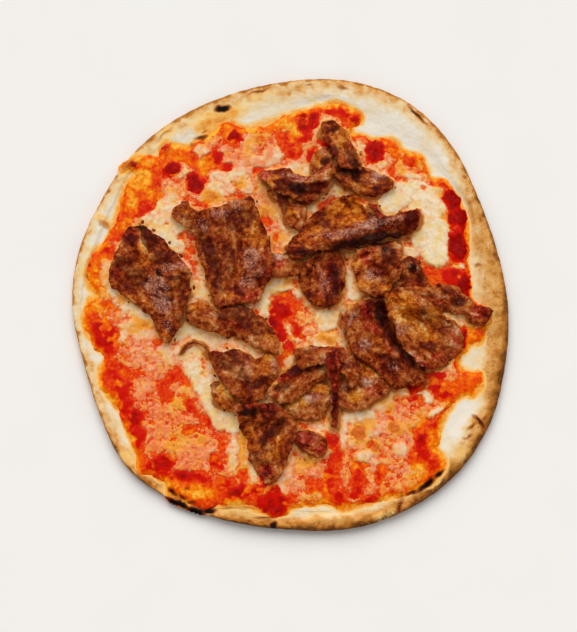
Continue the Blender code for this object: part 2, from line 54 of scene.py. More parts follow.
# Crust: wheat dough, pressed out by hand to 5 mm with a low rim and baked on hot stone. The middle of the
# rim stays pale and floury, the edge turns golden and then brown, and a few blisters and thin places burn.
MM = 0.001
FULL_TURN = 2 * math.pi
CRUST_CUTS = 2  # in each edge that is cut, before the rim is rounded
CRUST_ROUNDING = 2
CRUST_SEEN_FROM = 112 * MM  # inside this radius the crust is hidden, and stays coarse
LONGEST_ACROSS = 3 * MM  # of the edges that run outwards, before they are cut
LEAST_TURN = math.radians(1.5)  # between the ends of an edge that runs round the rim
DOUGH_TOP = 5 * MM
RIM_SETTLED = (0.6, 0.36)  # of the rim's rise is left once the hot dough has sunk: most, and at the far left
CRUMB_SKIN_MM = 1.1  # the fine unevenness of a baked surface
FAR_LEFT, NEAR_SIDE, LEFT, RIGHT = (math.radians(bearing) for bearing in (140, 280, 185, 4))
# How far in from the outline the crust is golden, and how far it is brown, in mm, at equal steps of bearing
# from +X towards +Y
GOLDEN_MM = (26, 20, 13, 12, 13, 15, 19, 20, 14, 11, 9, 8, 8, 9, 10, 13, 12, 13, 14, 14, 13, 15, 16, 19)
BROWN_MM = (3.5, 2, 2, 3, 2, 1.5, 1.5, 1.5, 2, 2, 1.5, 1.5, 1, 1.2, 1.6, 2.4, 2.2, 2.4, 3, 4, 3.6, 5, 5.5, 5)
# How far out from the sauce its oil has soaked into the dough, in mm, at the same bearings
SOAKED_MM = (1.5, 2, 2.5, 3, 4, 3.5, 4.5, 7, 6.5, 4.5, 3.5, 4, 3.5, 3, 4, 2.5, 3.5, 6, 3, 3.5, 3.5, 4, 3.5, 3)
# Burnt places: middle x and y, half length, half width, turn in degrees, and strength
CHAR_MARKS = (
    (-48, 137, 6, 2.6, 8, 1.0), (-22, 150, 7, 1.0, 20, 0.7), (13, 154, 3, 0.9, 8, 0.5),
    (37, 152, 4, 1.2, -15, 0.55), (89, 132.5, 8, 1.2, -44, 0.9), (121, 87, 2.2, 1.2, -30, 0.6),
    (132, 57, 1.0, 2.8, 10, 0.5), (130, 25, 2.0, 1.2, 0, 0.55), (129, -85, 6, 1.6, -50, 0.85),
    (124, -88, 3, 0.8, 35, 0.8), (133, -82, 3, 1.2, 40, 0.6), (122, -94, 1.6, 0.9, 40, 0.75),
    (119, -96, 1.2, 0.8, 0, 0.6), (101, -120, 4, 1.5, 45, 1.0), (92, -128, 7, 1.9, 38, 1.0),
    (83, -133, 4, 1.2, 15, 0.95), (74.5, -142, 7, 1.4, 80, 0.8), (-11, -156, 2.8, 3.6, 0, 0.95),
    (-27, -151.5, 2.4, 1.2, 0, 0.7), (-18, -150, 5, 0.8, -6, 0.8), (-31, -143, 2.8, 1.2, 20, 0.65),
    (-42, -143, 3, 0.9, 5, 0.7), (-55, -145.5, 5, 2.2, 8, 1.0), (-64, -145, 7, 2.8, -14, 1.05),
    (-76, -140, 8, 2.2, -24, 1.0), (-80, -132, 3.5, 1.5, -45, 0.85), (-73, -135.5, 2.6, 1.4, -20, 0.8),
    (-67, -139, 3, 1.2, -10, 0.75), (-70, -130, 1.6, 1.0, 0, 0.6), (-40, -134, 2, 1.4, 0, 0.5),
    (-101, -121, 4, 1.0, -40, 0.5), (-62, 116.5, 4.5, 1.4, 12, 0.8), (-60, 120.5, 2, 0.7, 20, 0.6),
    (-69, 111.5, 2, 1.2, 30, 0.55), (-139, 25, 1.2, 1.4, 0, 0.6), (-140, 17, 0.9, 1.6, 0, 0.6),
    (-88, 118, 8, 1.4, 50, 0.35), (-129, 54, 6, 2.4, -35, 0.35), (-112, 96, 7, 3.6, 20, 0.35),
    (-86, 107, 2.6, 4, 15, 0.3),
)
# Where oil and sauce have run over the rim and soaked in
STAIN_MARKS = (
    (-48, 132, 18, 6.5, 12, 0.75), (-56, 125, 12, 6.5, 10, 1.0), (-127, 55, 7, 2.4, -35, 1.0),
    (-66, -136, 18, 6, -12, 1.0), (-86, 121, 6, 3, 45, 0.7), (-100, 104, 9, 2, 15, 0.6),
    (-111, -108, 6, 3.5, -52, 0.45), (-25, -147, 14, 4, -8, 0.35), (20, -147, 18, 4, 3, 0.25),
    (-22, 146, 10, 3, 20, 0.4), (66, -147, 8, 3, 20, 0.35), (138, -13, 2, 6, -20, 0.5),
    (117, -107, 7, 4, 45, 0.4),
)


def pick(piece):
    """Selects one piece alone and makes it the active one."""
    bpy.ops.object.select_all(action="DESELECT")
    piece.select_set(True)
    bpy.context.view_layer.objects.active = piece


def own_copy(node, name):
    """A copy of a CAD node's solid under a name of its own, its loose triangles joined into quads."""
    piece = bpy.data.objects.new(name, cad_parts[node].data.copy())
    piece.data.name = name
    piece.data.materials.clear()
    bpy.context.scene.collection.objects.link(piece)
    pick(piece)
    bpy.ops.mesh.customdata_custom_splitnormals_clear()
    bpy.ops.object.mode_set(mode="EDIT")
    bpy.ops.mesh.select_all(action="SELECT")
    bpy.ops.mesh.remove_doubles(threshold=0.01 * MM)
    bpy.ops.mesh.tris_convert_to_quads(face_threshold=math.radians(60), shape_threshold=math.radians(60))
    bpy.ops.object.mode_set(mode="OBJECT")
    return piece


def select_only(piece, kind, chosen):
    """Leaves the piece in edit mode with only the chosen vertices or edges selected."""
    pick(piece)
    bpy.ops.object.mode_set(mode="EDIT")
    bpy.ops.mesh.select_mode(type="VERT" if kind == "vertices" else "EDGE")
    bpy.ops.mesh.select_all(action="DESELECT")
    bpy.ops.object.mode_set(mode="OBJECT")
    getattr(piece.data, kind).foreach_set("select", np.asarray(chosen, bool))
    bpy.ops.object.mode_set(mode="EDIT")


def apply_modifiers(piece):
    """Makes the piece's modifiers part of its mesh, in order."""
    pick(piece)
    for modifier in list(piece.modifiers):
        bpy.ops.object.modifier_apply(modifier=modifier.name)


def round_off(piece, levels):
    """Rounds the piece with a Subdivision Surface."""
    rounding = piece.modifiers.new("rounding", "SUBSURF")
    rounding.levels = rounding.render_levels = levels
    apply_modifiers(piece)


def read(items, what, width=3):
    """One property of a mesh's vertices or edges as an array of rows."""
    values = np.empty(len(items) * width)
    items.foreach_get(what, values)
    return values.reshape(-1, width)


def put_points(piece, points):
    """Moves the piece's vertices to the points."""
    piece.data.vertices.foreach_set("co", np.asarray(points, float).ravel())
    piece.data.update()


def store(piece, **layers):
    """Keeps values from 0 to 1 for each vertex, under the name that the material reads."""
    for name, values in layers.items():
        layer = piece.data.attributes.new(name, "FLOAT", "POINT")
        layer.data.foreach_set("value", np.clip(values, 0, 1))


def smooth_step(low, high, value):
    """0 below low, 1 above high, and an even S between them."""
    t = np.clip((value - low) / (high - low), 0, 1)
    return t * t * (3 - 2 * t)


def around(values, bearing):
    """The value at a bearing, on a smooth closed curve through equally spaced values."""
    values = np.asarray(values, float)
    place = np.asarray(bearing) / FULL_TURN * len(values) % len(values)
    first = np.floor(place).astype(int) % len(values)
    t = smooth_step(0, 1, place - np.floor(place))
    return values[first] * (1 - t) + values[(first + 1) % len(values)] * t


def ripple(points, length_mm, seed, octaves=1):
    """Even noise at the points, from about -1 to 1, with features of a length in mm."""
    places = (points / (length_mm * MM) + 13.7 * seed).tolist()
    if octaves == 1:
        return 1.6 * np.array([noise.noise(place) for place in places])
    return 1.3 * np.array([noise.fractal(place, 1.0, 2.0, octaves) for place in places])


def patchwork(x, y, patches, soft_mm=1.0):
    """How strongly a set of oval patches covers places, all in mm. Their edges fade over soft_mm each way."""
    cover = np.zeros_like(x)
    for middle_x, middle_y, half_length, half_width, turn, strength in patches:
        angle = math.radians(turn)
        dx, dy = x - middle_x, y - middle_y
        along = (dx * math.cos(angle) + dy * math.sin(angle)) / half_length
        across = (dy * math.cos(angle) - dx * math.sin(angle)) / half_width
        inside = (1 - np.hypot(along, across)) * min(half_length, half_width)
        cover = np.maximum(cover, strength * smooth_step(-soft_mm, soft_mm, inside))
    return cover


def strayed(points, amount_mm=1.5, seed=3):
    """The points' x and y in mm, pushed about a little so that no patch keeps a plain oval edge."""
    x = points[:, 0] / MM + amount_mm * (ripple(points, 7, seed) + 0.5 * ripple(points, 2.8, seed + 1))
    y = points[:, 1] / MM + amount_mm * (ripple(points, 7, seed + 2) + 0.5 * ripple(points, 2.8, seed + 3))
    return x, y


def linear(code):
    """An sRGB hex colour as the linear colour that a shader takes."""
    parts = [int(code[i : i + 2], 16) / 255 for i in (1, 3, 5)]
    return (*(c / 12.92 if c <= 0.04045 else ((c + 0.055) / 1.055) ** 2.4 for c in parts), 1.0)


def add_node(tree, kind, settings=None, inputs=None):
    """Adds a shader node with its settings, and each input set to a value or linked to an output."""
    node = tree.nodes.new("ShaderNode" + kind)
    for name, value in (settings or {}).items():
        setattr(node, name, value)
    for socket, value in (inputs or {}).items():
        if isinstance(value, bpy.types.NodeSocket):
            tree.links.new(value, node.inputs[socket])
        else:
            node.inputs[socket].default_value = value
    return node


def new_material(name):
    """A material with nodes, its tree, its Principled shader and its Object coordinates."""
    material = bpy.data.materials.new(name)
    material.use_nodes = True
    tree = material.node_tree
    place = add_node(tree, "TexCoord").outputs["Object"]
    return material, tree, tree.nodes["Principled BSDF"], place


def grain(tree, place, size_mm, detail=2.0):
    """Noise whose features are about size_mm long, from 0 to 1."""
    settings = {"Vector": place, "Scale": 1 / (size_mm * MM), "Detail": detail}
    return add_node(tree, "TexNoise", None, settings).outputs[0]


def layered(tree, base, coats):
    """Colours laid over each other, each where its own share says."""
    colour = base
    for share, coat in coats:
        mixed = add_node(tree, "Mix", {"data_type": "RGBA"}, {0: share, 6: colour, 7: coat})
        colour = mixed.outputs[2]
    return colour


def share_of(tree, value, low, high, limit=1.0):
    """How far a value has gone from low to high, from 0 to a limit."""
    settings = {"interpolation_type": "SMOOTHSTEP"}
    return add_node(tree, "MapRange", settings, {0: value, 1: low, 2: high, 4: limit}).outputs[0]


def layer_of(tree, name):
    """A value kept in the mesh."""
    return add_node(tree, "Attribute", {"attribute_name": name}).outputs["Fac"]


def coats_by(tree, value, *rows):
    """Coats that one value brings in: each row has its start, its end, its greatest share and its colour."""
    return [(share_of(tree, value, low, high, limit), linear(code)) for low, high, limit, code in rows]


def worked_out(tree, operation, *values):
    """The result of one sum on values that are numbers or outputs."""
    return add_node(tree, "Math", {"operation": operation}, dict(enumerate(values))).outputs[0]


def unsettled(tree, place, value, size_mm, amount, detail=3.0):
    """A value pushed up and down by noise of a size."""
    pushed = worked_out(tree, "MULTIPLY_ADD", grain(tree, place, size_mm, detail), amount, value)
    return worked_out(tree, "SUBTRACT", pushed, 0.5 * amount)


def finish_surface(tree, shader, colour, roughness, shine, relief, strength, depth_mm=0.4):
    """Gives a material its colour, its roughness and shine, and a fine relief."""
    tree.links.new(colour, shader.inputs["Base Color"])
    shader.inputs["Roughness"].default_value = roughness
    shader.inputs["Specular IOR Level"].default_value = shine
    bump = add_node(tree, "Bump", None, {"Strength": strength, "Distance": depth_mm * MM, "Height": relief})
    tree.links.new(bump.outputs[0], shader.inputs["Normal"])


def edge_ends(piece):
    """The two ends of every edge of a piece."""
    return read(piece.data.vertices, "co")[read(piece.data.edges, "vertices", 2).astype(int)]


def lengths(ends):
    """How long the edges between the ends are."""
    return np.linalg.norm(ends[:, 1] - ends[:, 0], axis=1)


def goes_round(ends):
    """Which edges in sight run round the rim, and not outwards."""
    bearings = np.unwrap(np.arctan2(ends[:, :, 1], ends[:, :, 0]), axis=1)
    return np.abs(bearings[:, 1] - bearings[:, 0]) > LEAST_TURN


def in_sight(ends):
    """Which edges reach out past the toppings."""
    return np.hypot(ends[:, :, 0], ends[:, :, 1]).max(1) > CRUST_SEEN_FROM


def cut_edges(piece, chosen, cuts):
    """Cuts the chosen edges, and the faces between them, into equal lengths."""
    select_only(piece, "edges", chosen)
    bpy.ops.mesh.subdivide(number_cuts=cuts)
    bpy.ops.object.mode_set(mode="OBJECT")


crust = own_copy("crust", "baked_crust")
ends = edge_ends(crust)
long_ones = (lengths(ends) > LONGEST_ACROSS) & (ends[:, :, 2].mean(1) > MM)
cut_edges(crust, in_sight(ends) & long_ones & ~goes_round(ends), CRUST_CUTS)
ends = edge_ends(crust)
cut_edges(crust, in_sight(ends) & goes_round(ends), CRUST_CUTS)
round_off(crust, CRUST_ROUNDING)

points = read(crust.data.vertices, "co")
normals = read(crust.data.vertices, "normal")
facing_up = smooth_step(-0.6, 0.1, normals[:, 2])
relief = 0.24 * ripple(points, 6, 11, 3) + 0.08 * ripple(points, 1.8, 12)
bearing = np.arctan2(points[:, 1], points[:, 0])
sunk = smooth_step(-0.2, 0.8, np.cos(bearing - FAR_LEFT))
settled = 1 - RIM_SETTLED[0] + (RIM_SETTLED[0] - RIM_SETTLED[1]) * sunk
points[:, 2] -= settled * np.maximum(points[:, 2] - DOUGH_TOP, 0)
points += normals * (relief * facing_up * MM)[:, None]
points[:, 2] = np.maximum(points[:, 2], 0)
put_points(crust, points)

bearing = np.arctan2(points[:, 1], points[:, 0])
radius = np.hypot(points[:, 0], points[:, 1])
outline = np.zeros(360)
np.maximum.at(outline, np.round(np.degrees(bearing)).astype(int) % 360, radius)
inset = (around(outline, bearing) - radius) / MM
wavy = inset + 1.8 * ripple(points, 9, 13, 2) + 0.7 * ripple(points, 2.5, 14)
golden = 1 - smooth_step(0.2, 1.2, wavy / around(GOLDEN_MM, bearing))
brown = 1 - smooth_step(0.0, 1.3, (wavy - 0.4) / around(BROWN_MM, bearing))
on_side = 1 - smooth_step(-0.2, 0.6, normals[:, 2])
toasted = 0.24 * smooth_step(0.1, 0.9, np.cos(bearing - NEAR_SIDE))
toasted -= 0.08 * smooth_step(0.3, 0.9, np.cos(bearing - LEFT))
baked = 0.05 + 0.36 * golden + 0.3 * brown + 0.12 * on_side + toasted * golden
baked += (0.05 + 0.07 * golden) * ripple(points, 6, 15, 3)
# Painted shade: the rim on the right is made darker tan
baked += 0.16 * smooth_step(0.75, 1.0, np.cos(bearing - RIGHT))
beneath = 1 - smooth_step(-0.95, -0.7, normals[:, 2])
leopard = 0.35 + 0.3 * smooth_step(-0.1, 0.9, ripple(points, 16, 16, 3)) + 0.1 * ripple(points, 4, 17)
baked += beneath * (leopard - baked)
mark_x, mark_y = strayed(points, 0.9)
stained = patchwork(mark_x, mark_y, STAIN_MARKS, 4.0) * (0.85 + 0.35 * ripple(points, 5, 18, 3))
charred = patchwork(mark_x, mark_y, CHAR_MARKS, 1.3)
store(crust, baked=baked, char=charred * (1 - beneath), stain=stained * (1 - beneath))

# Baked dough: fine flour dust over a crumb skin, matt and a little translucent, browner where it is drier
dough, tree, shader, place = new_material("baked_dough")
coats = [(share_of(tree, grain(tree, place, 14, 3), 0.42, 0.62, 0.7), linear("#e6d2ae"))]
# The baked value also carries the painted shade on the right of the rim
shade_value = unsettled(tree, place, layer_of(tree, "baked"), 3, 0.3, 4)
coats += coats_by(
    tree, shade_value,
    (0.08, 0.28, 1, "#e8ca98"), (0.24, 0.50, 1, "#d99c52"), (0.48, 0.72, 1, "#ae6a22"),
    (0.70, 0.95, 1, "#63380f"),
)
freckled = worked_out(tree, "MULTIPLY", grain(tree, place, 1.5, 2), share_of(tree, shade_value, 0.2, 0.5))
coats += coats_by(tree, freckled, (0.52, 0.66, 0.6, "#a8662a"))
soaked = worked_out(tree, "MAXIMUM", layer_of(tree, "stain"), layer_of(tree, "soaked"))
soaked = unsettled(tree, place, soaked, 1.5, 0.45, 4)
coats += coats_by(
    tree, soaked, (0.05, 0.4, 0.8, "#f4c878"), (0.35, 0.7, 0.85, "#f0a63e"), (0.7, 1.0, 0.8, "#e47e20")
)
coats += coats_by(
    tree, layer_of(tree, "char"),
    (0.05, 0.45, 0.8, "#a85a1c"), (0.35, 0.75, 0.9, "#4a1508"), (0.7, 1.0, 1, "#0c0606"),
)
colour = layered(tree, linear("#e8decc"), coats)
finish_surface(tree, shader, colour, 0.8, 0.1, grain(tree, place, CRUMB_SKIN_MM, 3), 0.35)
crust.data.materials.append(dough)
crust.data.shade_smooth()
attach(crust, "root")
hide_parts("crust")

# Tomato sauce: passed tomato with oil, spread thin with a ladle. It is deep red where it lies in pools and
# orange to yellow where the oil has come out of it, and its shore runs in fingers over the foot of the rim.
SAUCE_CELL = 1.0 * MM
SAUCE_THICKNESS_MM = 1.6
POOL_MM = 0.3  # how much deeper the clean pools are
SAUCE_STOPS_MM = 2.5  # from the crust's outline
SAUCE_FLOOR_MM = 3.5  # its unseen underside, inside the dough
UNDERSIDE_FACES = 0.05  # of the faces above it
SEEN_BESIDE_MM = 9  # the flat dough within this distance of the sauce is cut until its edges are this short
LONGEST_SEEN = 1.4 * MM
HALVINGS = 5
PULP_MM = 1.6  # the bits of tomato in it
# The shore, from point to point round the pizza, clockwise from the top
SHORE = (
    (25, 141), (35, 142), (43, 138), (49, 134), (51, 130), (48, 126), (43, 123), (44, 120), (50, 118),
    (57, 115), (64, 115), (70, 116), (75, 112), (78, 107), (82, 105), (87, 105.5), (91, 104), (94, 98),
    (96, 91), (98, 87), (103, 86), (108, 86), (112, 81), (117, 74), (120, 67), (122, 60), (123, 52),
    (124, 44), (124, 35), (123, 28), (124, 20), (125, 12), (125, 4), (128, -2), (136, -5), (139, -9),
    (139, -14), (136, -19), (134, -26), (130, -32), (126, -30), (122, -34), (118, -39), (116, -45),
    (119, -49), (126, -50), (131, -50), (133, -55), (131, -60), (128, -64), (124, -68), (121, -66),
    (116, -68), (112, -72), (108, -77), (105, -82), (103, -88), (102, -94), (101, -99), (100, -103),
    (103, -107), (105, -111), (105, -116), (102, -120), (97, -125), (91, -129), (84, -133), (78, -135),
    (70, -137), (60, -138), (52, -140), (43, -143), (34, -145), (27, -142), (21, -140), (15, -143),
    (8, -141), (2, -143), (-3, -148), (-12, -150), (-19, -146), (-26, -142), (-34, -141), (-42, -142),
    (-49, -141), (-54, -144), (-58, -147), (-66, -145), (-76, -141), (-83, -138), (-84, -131), (-84, -125),
    (-91, -123), (-97, -120), (-102, -120), (-105, -113), (-105, -106), (-108, -98), (-112, -90),
    (-115, -82), (-118, -77), (-121, -71), (-126, -66), (-130, -61), (-132, -54), (-131, -47), (-128, -42),
    (-128, -38), (-134, -34), (-139, -27), (-142, -18), (-143, -9), (-141, -3), (-138, 1), (-134, 3),
    (-135, 6), (-139, 9), (-141, 18), (-140, 26), (-137, 32), (-131, 38), (-128, 44), (-125, 50),
    (-121, 57), (-119, 65), (-118, 73), (-116, 80), (-112, 86), (-107, 90), (-113, 92), (-119, 91),
    (-119, 95), (-114, 99), (-107, 102), (-98, 103), (-92, 102), (-91, 107), (-88, 113), (-83, 112),
    (-77, 110.5), (-70, 110), (-66, 113), (-60, 117), (-54, 121), (-49, 126), (-43, 128), (-36, 125),
    (-29, 123), (-20, 124), (-12, 127), (-5, 131), (2, 134), (10, 136), (18, 138),
)
# Pools of clean sauce with no cheese in them: middle x and y, half length, half width, turn, and depth of red
RED_POOLS = (
    (12, 128, 9, 7, 25, 0.75), (35, 136, 12, 5, -10, 0.5), (46, 130, 5, 5, 0, 0.8), (7, 118, 5, 7, 60, 0.5),
    (0, 109, 10, 6, -50, 0.35), (15, 103, 4, 6, -10, 0.7), (24, 112, 5, 3, -20, 0.6),
    (-39, 117, 5.5, 4.5, 0, 0.95), (-52, 103, 5, 4.5, 10, 0.7), (-44, 95, 4, 4, 0, 0.5),
    (-83, 94, 6, 5.5, 0, 1.0), (-66, 83, 6, 7.5, 20, 1.0), (-94, 84, 4, 5, 0, 0.35),
    (-104, 65, 8, 6, 20, 0.35), (-94, 72, 5, 3, 30, 0.3), (-112, 61, 5, 6, 0, 0.1),
    (-24, 92, 2.5, 1.8, 0, 0.5), (-111, 97, 7, 4, 22, 0.85), (-98, 101, 3, 2, 0, 0.3),
    (60, 107, 7.5, 9, 0, 0.85), (85, 101, 5, 4, 0, 0.25), (73, 105, 3, 5, 30, 0.35),
    (103, 83, 7, 3, -10, 0.3), (113, 72, 6, 9, 30, 1.0), (119, 59, 3.5, 11, 10, 1.1),
    (112, 59, 5, 6, 0, 0.95), (93, 80, 2, 1.6, 0, 0.4), (116, 39, 6.5, 13, 5, 1.0), (113, 17, 9, 7, 0, 0.6),
    (120, 8, 5, 12, 0, 1.0), (97, 18, 8, 5, -30, 0.05), (105, 12, 12, 6, 0, 0.1),
    (118, -28, 3.5, 9, -20, 1.05), (116, -43, 5, 3, 48, 0.5), (100, -53, 10, 4, 20, 0.45),
    (105, -63, 6.5, 5, -10, 0.7), (84, -60, 4.5, 5, 0, 0.6), (83, -68, 3, 2.5, 0, 0.5),
    (131, -24, 2.6, 6, -12, 0.1), (126, -57, 4.5, 4, 0, 0.1), (97, -88, 10, 1.6, 52, 0.5),
    (90, -97, 2.6, 5, -20, 0.85), (90, -106, 5, 4.5, 0, 0.5), (98, -113, 6, 4.5, -40, 0.45),
    (28, -99, 3.5, 5.5, 15, 0.55), (31, -107, 3.5, 7, -10, 0.4), (26, -126, 3, 14, -8, 0.5),
    (34, -138, 3, 4, 20, 0.75), (46, -120, 3.5, 10, -3, 0.4), (45, -131, 3, 5, -10, 0.6),
    (62, -120, 3, 7, -15, 0.3), (53, -137, 9, 1.8, 35, 0.6), (13, -127, 4.5, 2.6, -10, 0.3),
    (-12, -140, 10, 7.5, 0, 0.75), (-11, -132, 4.5, 5, 0, 0.7), (-22, -129, 12, 3, 28, 0.75),
    (-36, -133, 7, 4, 15, 0.85), (-16, -122, 5, 5, -30, 0.8), (-32, -121, 2.6, 4, 0, 0.3),
    (-51, -112, 4, 6, 20, 0.5), (-44, -127, 6, 5, 0, 0.45), (-116, -64, 5.5, 9, -10, 0.6),
    (-112, -74, 4, 7, 0, 0.6), (-106, -83, 5.5, 7, 0, 0.75), (-104, -94, 6, 6, 0, 0.5),
    (-103, -101, 3.5, 5, 0, 0.4), (-88, -113, 10, 5.5, 15, 0.7), (-72, -122, 16, 2.8, -4, 0.75),
    (-87, -59, 6, 3, 20, 0.45), (-85, -66, 4.5, 4.5, 0, 0.25), (-68, -74, 7, 3, -60, 0.35),
    (-57, -84, 6, 2.5, -40, 0.3), (-69, -90, 4, 3.5, 0, 0.15), (-128, -23, 9, 9, 0, 0.7),
    (-124, -34, 4, 5, 0, 0.5), (-137, -14, 4.5, 9, 0, 0.15), (-119, -50, 7, 7, 0, 0.3),
    (-127, -53, 5, 8, -10, 0.25), (-67, 45, 2.5, 3, 0, 0.3), (-68, 36, 2.5, 2, 0, 0.2),
    (-66, 26, 3, 2, 0, 0.15), (-92, -30, 4, 2.4, -10, 0.35), (-79, -53, 4, 3.5, 20, 0.4),
    (-7, -6, 7.5, 7, 0, 0.75), (-11, -16, 4.5, 6, 20, 0.95), (-7, -25, 3, 5, 25, 0.9),
    (0, -33, 4, 2.6, -30, 0.6), (5, -21, 8, 1.5, -52, 0.6), (-1, 2, 5, 2.4, -15, 0.05),
    (-10, 44, 1.5, 3.5, 0, 0.05), (-126, 34, 6, 4, 20, 0.15), (37, 79, 1.2, 3, 0, 0.5),
    (-17, 57, 5, 2.4, 0, 0.1), (-86, 107, 3, 5, 15, 0.6), (-69, 102, 4, 3, 0, 0.3), (-29, 2, 7, 3, 20, 0.1),
)
# Where the oil has come out: the last value is 0.5 for orange and 1 for yellow
OIL_POOLS = (
    (-104, 85, 10, 9, 40, 0.9), (-100, 76, 12, 6, 0, 0.6), (-111, 73, 5, 12, 10, 0.8),
    (-98, 97, 10, 3.5, 0, 0.8), (-78, 104, 11, 6, -10, 0.65), (-60, 96, 8, 7, 0, 0.7),
    (-56, 125, 9, 5, 10, 1.0), (-45, 121, 6, 6, 0, 0.6), (-25, 121, 14, 4, 0, 0.75),
    (-5, 125, 13, 4, 12, 0.9), (-20, 114, 9, 6, 0, 0.5), (2, 121, 7, 4, -10, 0.9), (-29, 108, 3, 9, 0, 0.8),
    (-35, 84, 5, 4, 30, 0.8), (-55, 73, 7, 5, -20, 0.8), (-87, 61, 4, 4, 0, 0.5), (-82, 70, 5, 3, 0, 0.5),
    (-112, 53, 7, 5, 0, 0.7), (-127, 50, 4, 5, 0, 0.8), (-18, 66, 4, 8, 0, 0.6), (-11, 64, 3, 9, 10, 0.8),
    (-20, 78, 6, 4, -30, 0.6), (-10, 44, 5.5, 4.6, 0, 0.35), (77, 93, 5.5, 5, 0, 0.75),
    (74, 104, 9, 6, -30, 0.45), (91, 97, 4, 8, 20, 0.6), (103, 75, 5, 4, 0, 0.7), (106, 60, 4, 6, 20, 0.65),
    (92, 56, 3, 5, 0, 0.8), (66, 77, 7, 2, 15, 0.35), (99, 15, 9, 5, -10, 0.45), (122, 36, 2, 20, 0, 0.5),
    (124, -22, 4, 9, 10, 0.8), (137, -15, 3, 6, -15, 0.9), (114, -60, 10, 8, -10, 0.5),
    (98, -57, 5, 3, 0, 0.55), (126, -52, 7, 3, 0, 0.6), (108, -73, 5, 3, -30, 0.8),
    (88, -84, 5, 9, -10, 0.75), (97, -97, 2.6, 8, 0, 0.8), (86, -119, 8, 7, 20, 0.85),
    (79, -128, 9, 5, 20, 0.6), (70, -99, 6, 9, 20, 0.5), (48, -89, 8, 6, 30, 0.75),
    (47, -99, 8, 3.5, 0, 0.6), (58, -68, 4, 8, 20, 0.8), (66, -74, 5, 7, 0, 0.4),
    (66, -118, 5, 12, 10, 0.45), (72, -110, 5, 8, 0, 0.4), (12, -112, 10, 6, 0, 0.55),
    (14, -136, 10, 4, 0, 0.65), (-8, -117, 4, 7, 0, 0.55), (-32, -97, 3.2, 10, 0, 0.95),
    (-32, -110, 3, 8, 0, 0.8), (13, -82, 9, 4, 0, 0.95), (22, -62, 5, 4, 0, 0.9),
    (-48, -123, 6, 4, 30, 0.5), (-72, -63, 6, 6, -50, 0.5), (-78, -73, 8, 6, 30, 0.6),
    (-72, -97, 9, 8, 0, 0.6), (-79, -106, 7, 4, 0, 0.55), (-63, -133, 14, 6, -8, 0.85),
    (-80, -129, 6, 4, 0, 0.7), (-56, -136, 9, 4, 0, 0.45), (-105, -18, 7, 7, 0, 0.85),
    (-116, 0, 4, 3, 0, 0.8), (-97, -38, 3, 3, 0, 0.7), (-88, -45, 3, 3, 0, 0.6), (-88, -36, 5, 3, 0, 0.5),
    (-130, 21, 9, 13, 0, 0.6), (-136, 13, 5, 7, 0, 0.75), (-129, 5, 4, 6, 0, 0.9), (-126, -9, 6, 7, 0, 0.6),
    (-133, -3, 5, 4, 0, 0.85), (-112, -41, 7, 5, 0, 0.4), (-12, 16, 4, 5, -40, 0.85),
    (-2, 13, 4, 3, 0, 0.85), (7, -7, 6, 5, 0, 0.55), (14, -11, 6, 6, 0, 0.5), (26, -25, 8, 4, 0, 0.85),
    (34, -5, 4, 3, 0, 0.7), (26, -12, 11, 8, 0, 0.5), (16, -29, 8, 4, -10, 0.5),
    (-33, -28, 8, 5, -10, 0.45), (-67, 9, 2.4, 5, 0, 0.8), (-84, -27, 6, 2.5, 0, 0.7),
    (-49, 20, 4, 14, 15, 0.2), (-105, -108, 4, 9, 20, 0.6), (-103, -117, 4, 4, 0, 0.8),
    (-123, -66, 5, 3, -45, 0.6), (76, 112, 6, 3, -30, 0.7),
)


def rounded_corners(corners):
    """A closed outline with each corner cut into two, so that it runs smoothly."""
    here, there = np.array(corners, float), np.roll(corners, -1, axis=0)
    return np.stack([0.75 * here + 0.25 * there, 0.25 * here + 0.75 * there], axis=1).reshape(-1, 2)


def within_shore(x, y, shore):
    """How far places are inside a closed outline, in mm, and below 0 outside it."""
    closest, inside = np.full(x.shape, np.inf), np.zeros(x.shape, bool)
    for (x1, y1), (x2, y2) in zip(shore, np.roll(shore, -1, axis=0)):
        run_x, run_y = x2 - x1, y2 - y1
        t = np.clip(((x - x1) * run_x + (y - y1) * run_y) / (run_x**2 + run_y**2), 0, 1)
        closest = np.minimum(closest, (x - x1 - t * run_x) ** 2 + (y - y1 - t * run_y) ** 2)
        if y1 != y2:
            inside ^= ((y1 > y) != (y2 > y)) & (x < x1 + (y - y1) * run_x / run_y)
    return np.where(inside, 1, -1) * np.sqrt(closest)


def surface_of(piece):
    """A piece's faces, for finding its top with a ray from above."""
    faces = [tuple(face.vertices) for face in piece.data.polygons]
    return BVHTree.FromPolygons([vertex.co for vertex in piece.data.vertices], faces)


def tops(surface, points, missing):
    """The height of the surface under or over each point."""
    down = Vector((0, 0, -1))
    hits = (surface.ray_cast(Vector((x, y, 0.1)), down)[0] for x, y, _ in points.tolist())
    return np.array([missing if hit is None else hit.z for hit in hits])


def sheet_of(name, cell, keep):
    """A flat grid over the whole pizza, cut down to the vertices that a test of their points keeps."""
    width = 2 * max(cad_box[1])
    cells = round(width / cell)
    bpy.ops.object.select_all(action="DESELECT")
    bpy.ops.mesh.primitive_grid_add(x_subdivisions=cells, y_subdivisions=cells, size=width)
    piece = bpy.context.object
    piece.name = piece.data.name = name
    select_only(piece, "vertices", ~keep(read(piece.data.vertices, "co")))
    bpy.ops.mesh.delete(type="VERT")
    bpy.ops.object.mode_set(mode="OBJECT")
    return piece


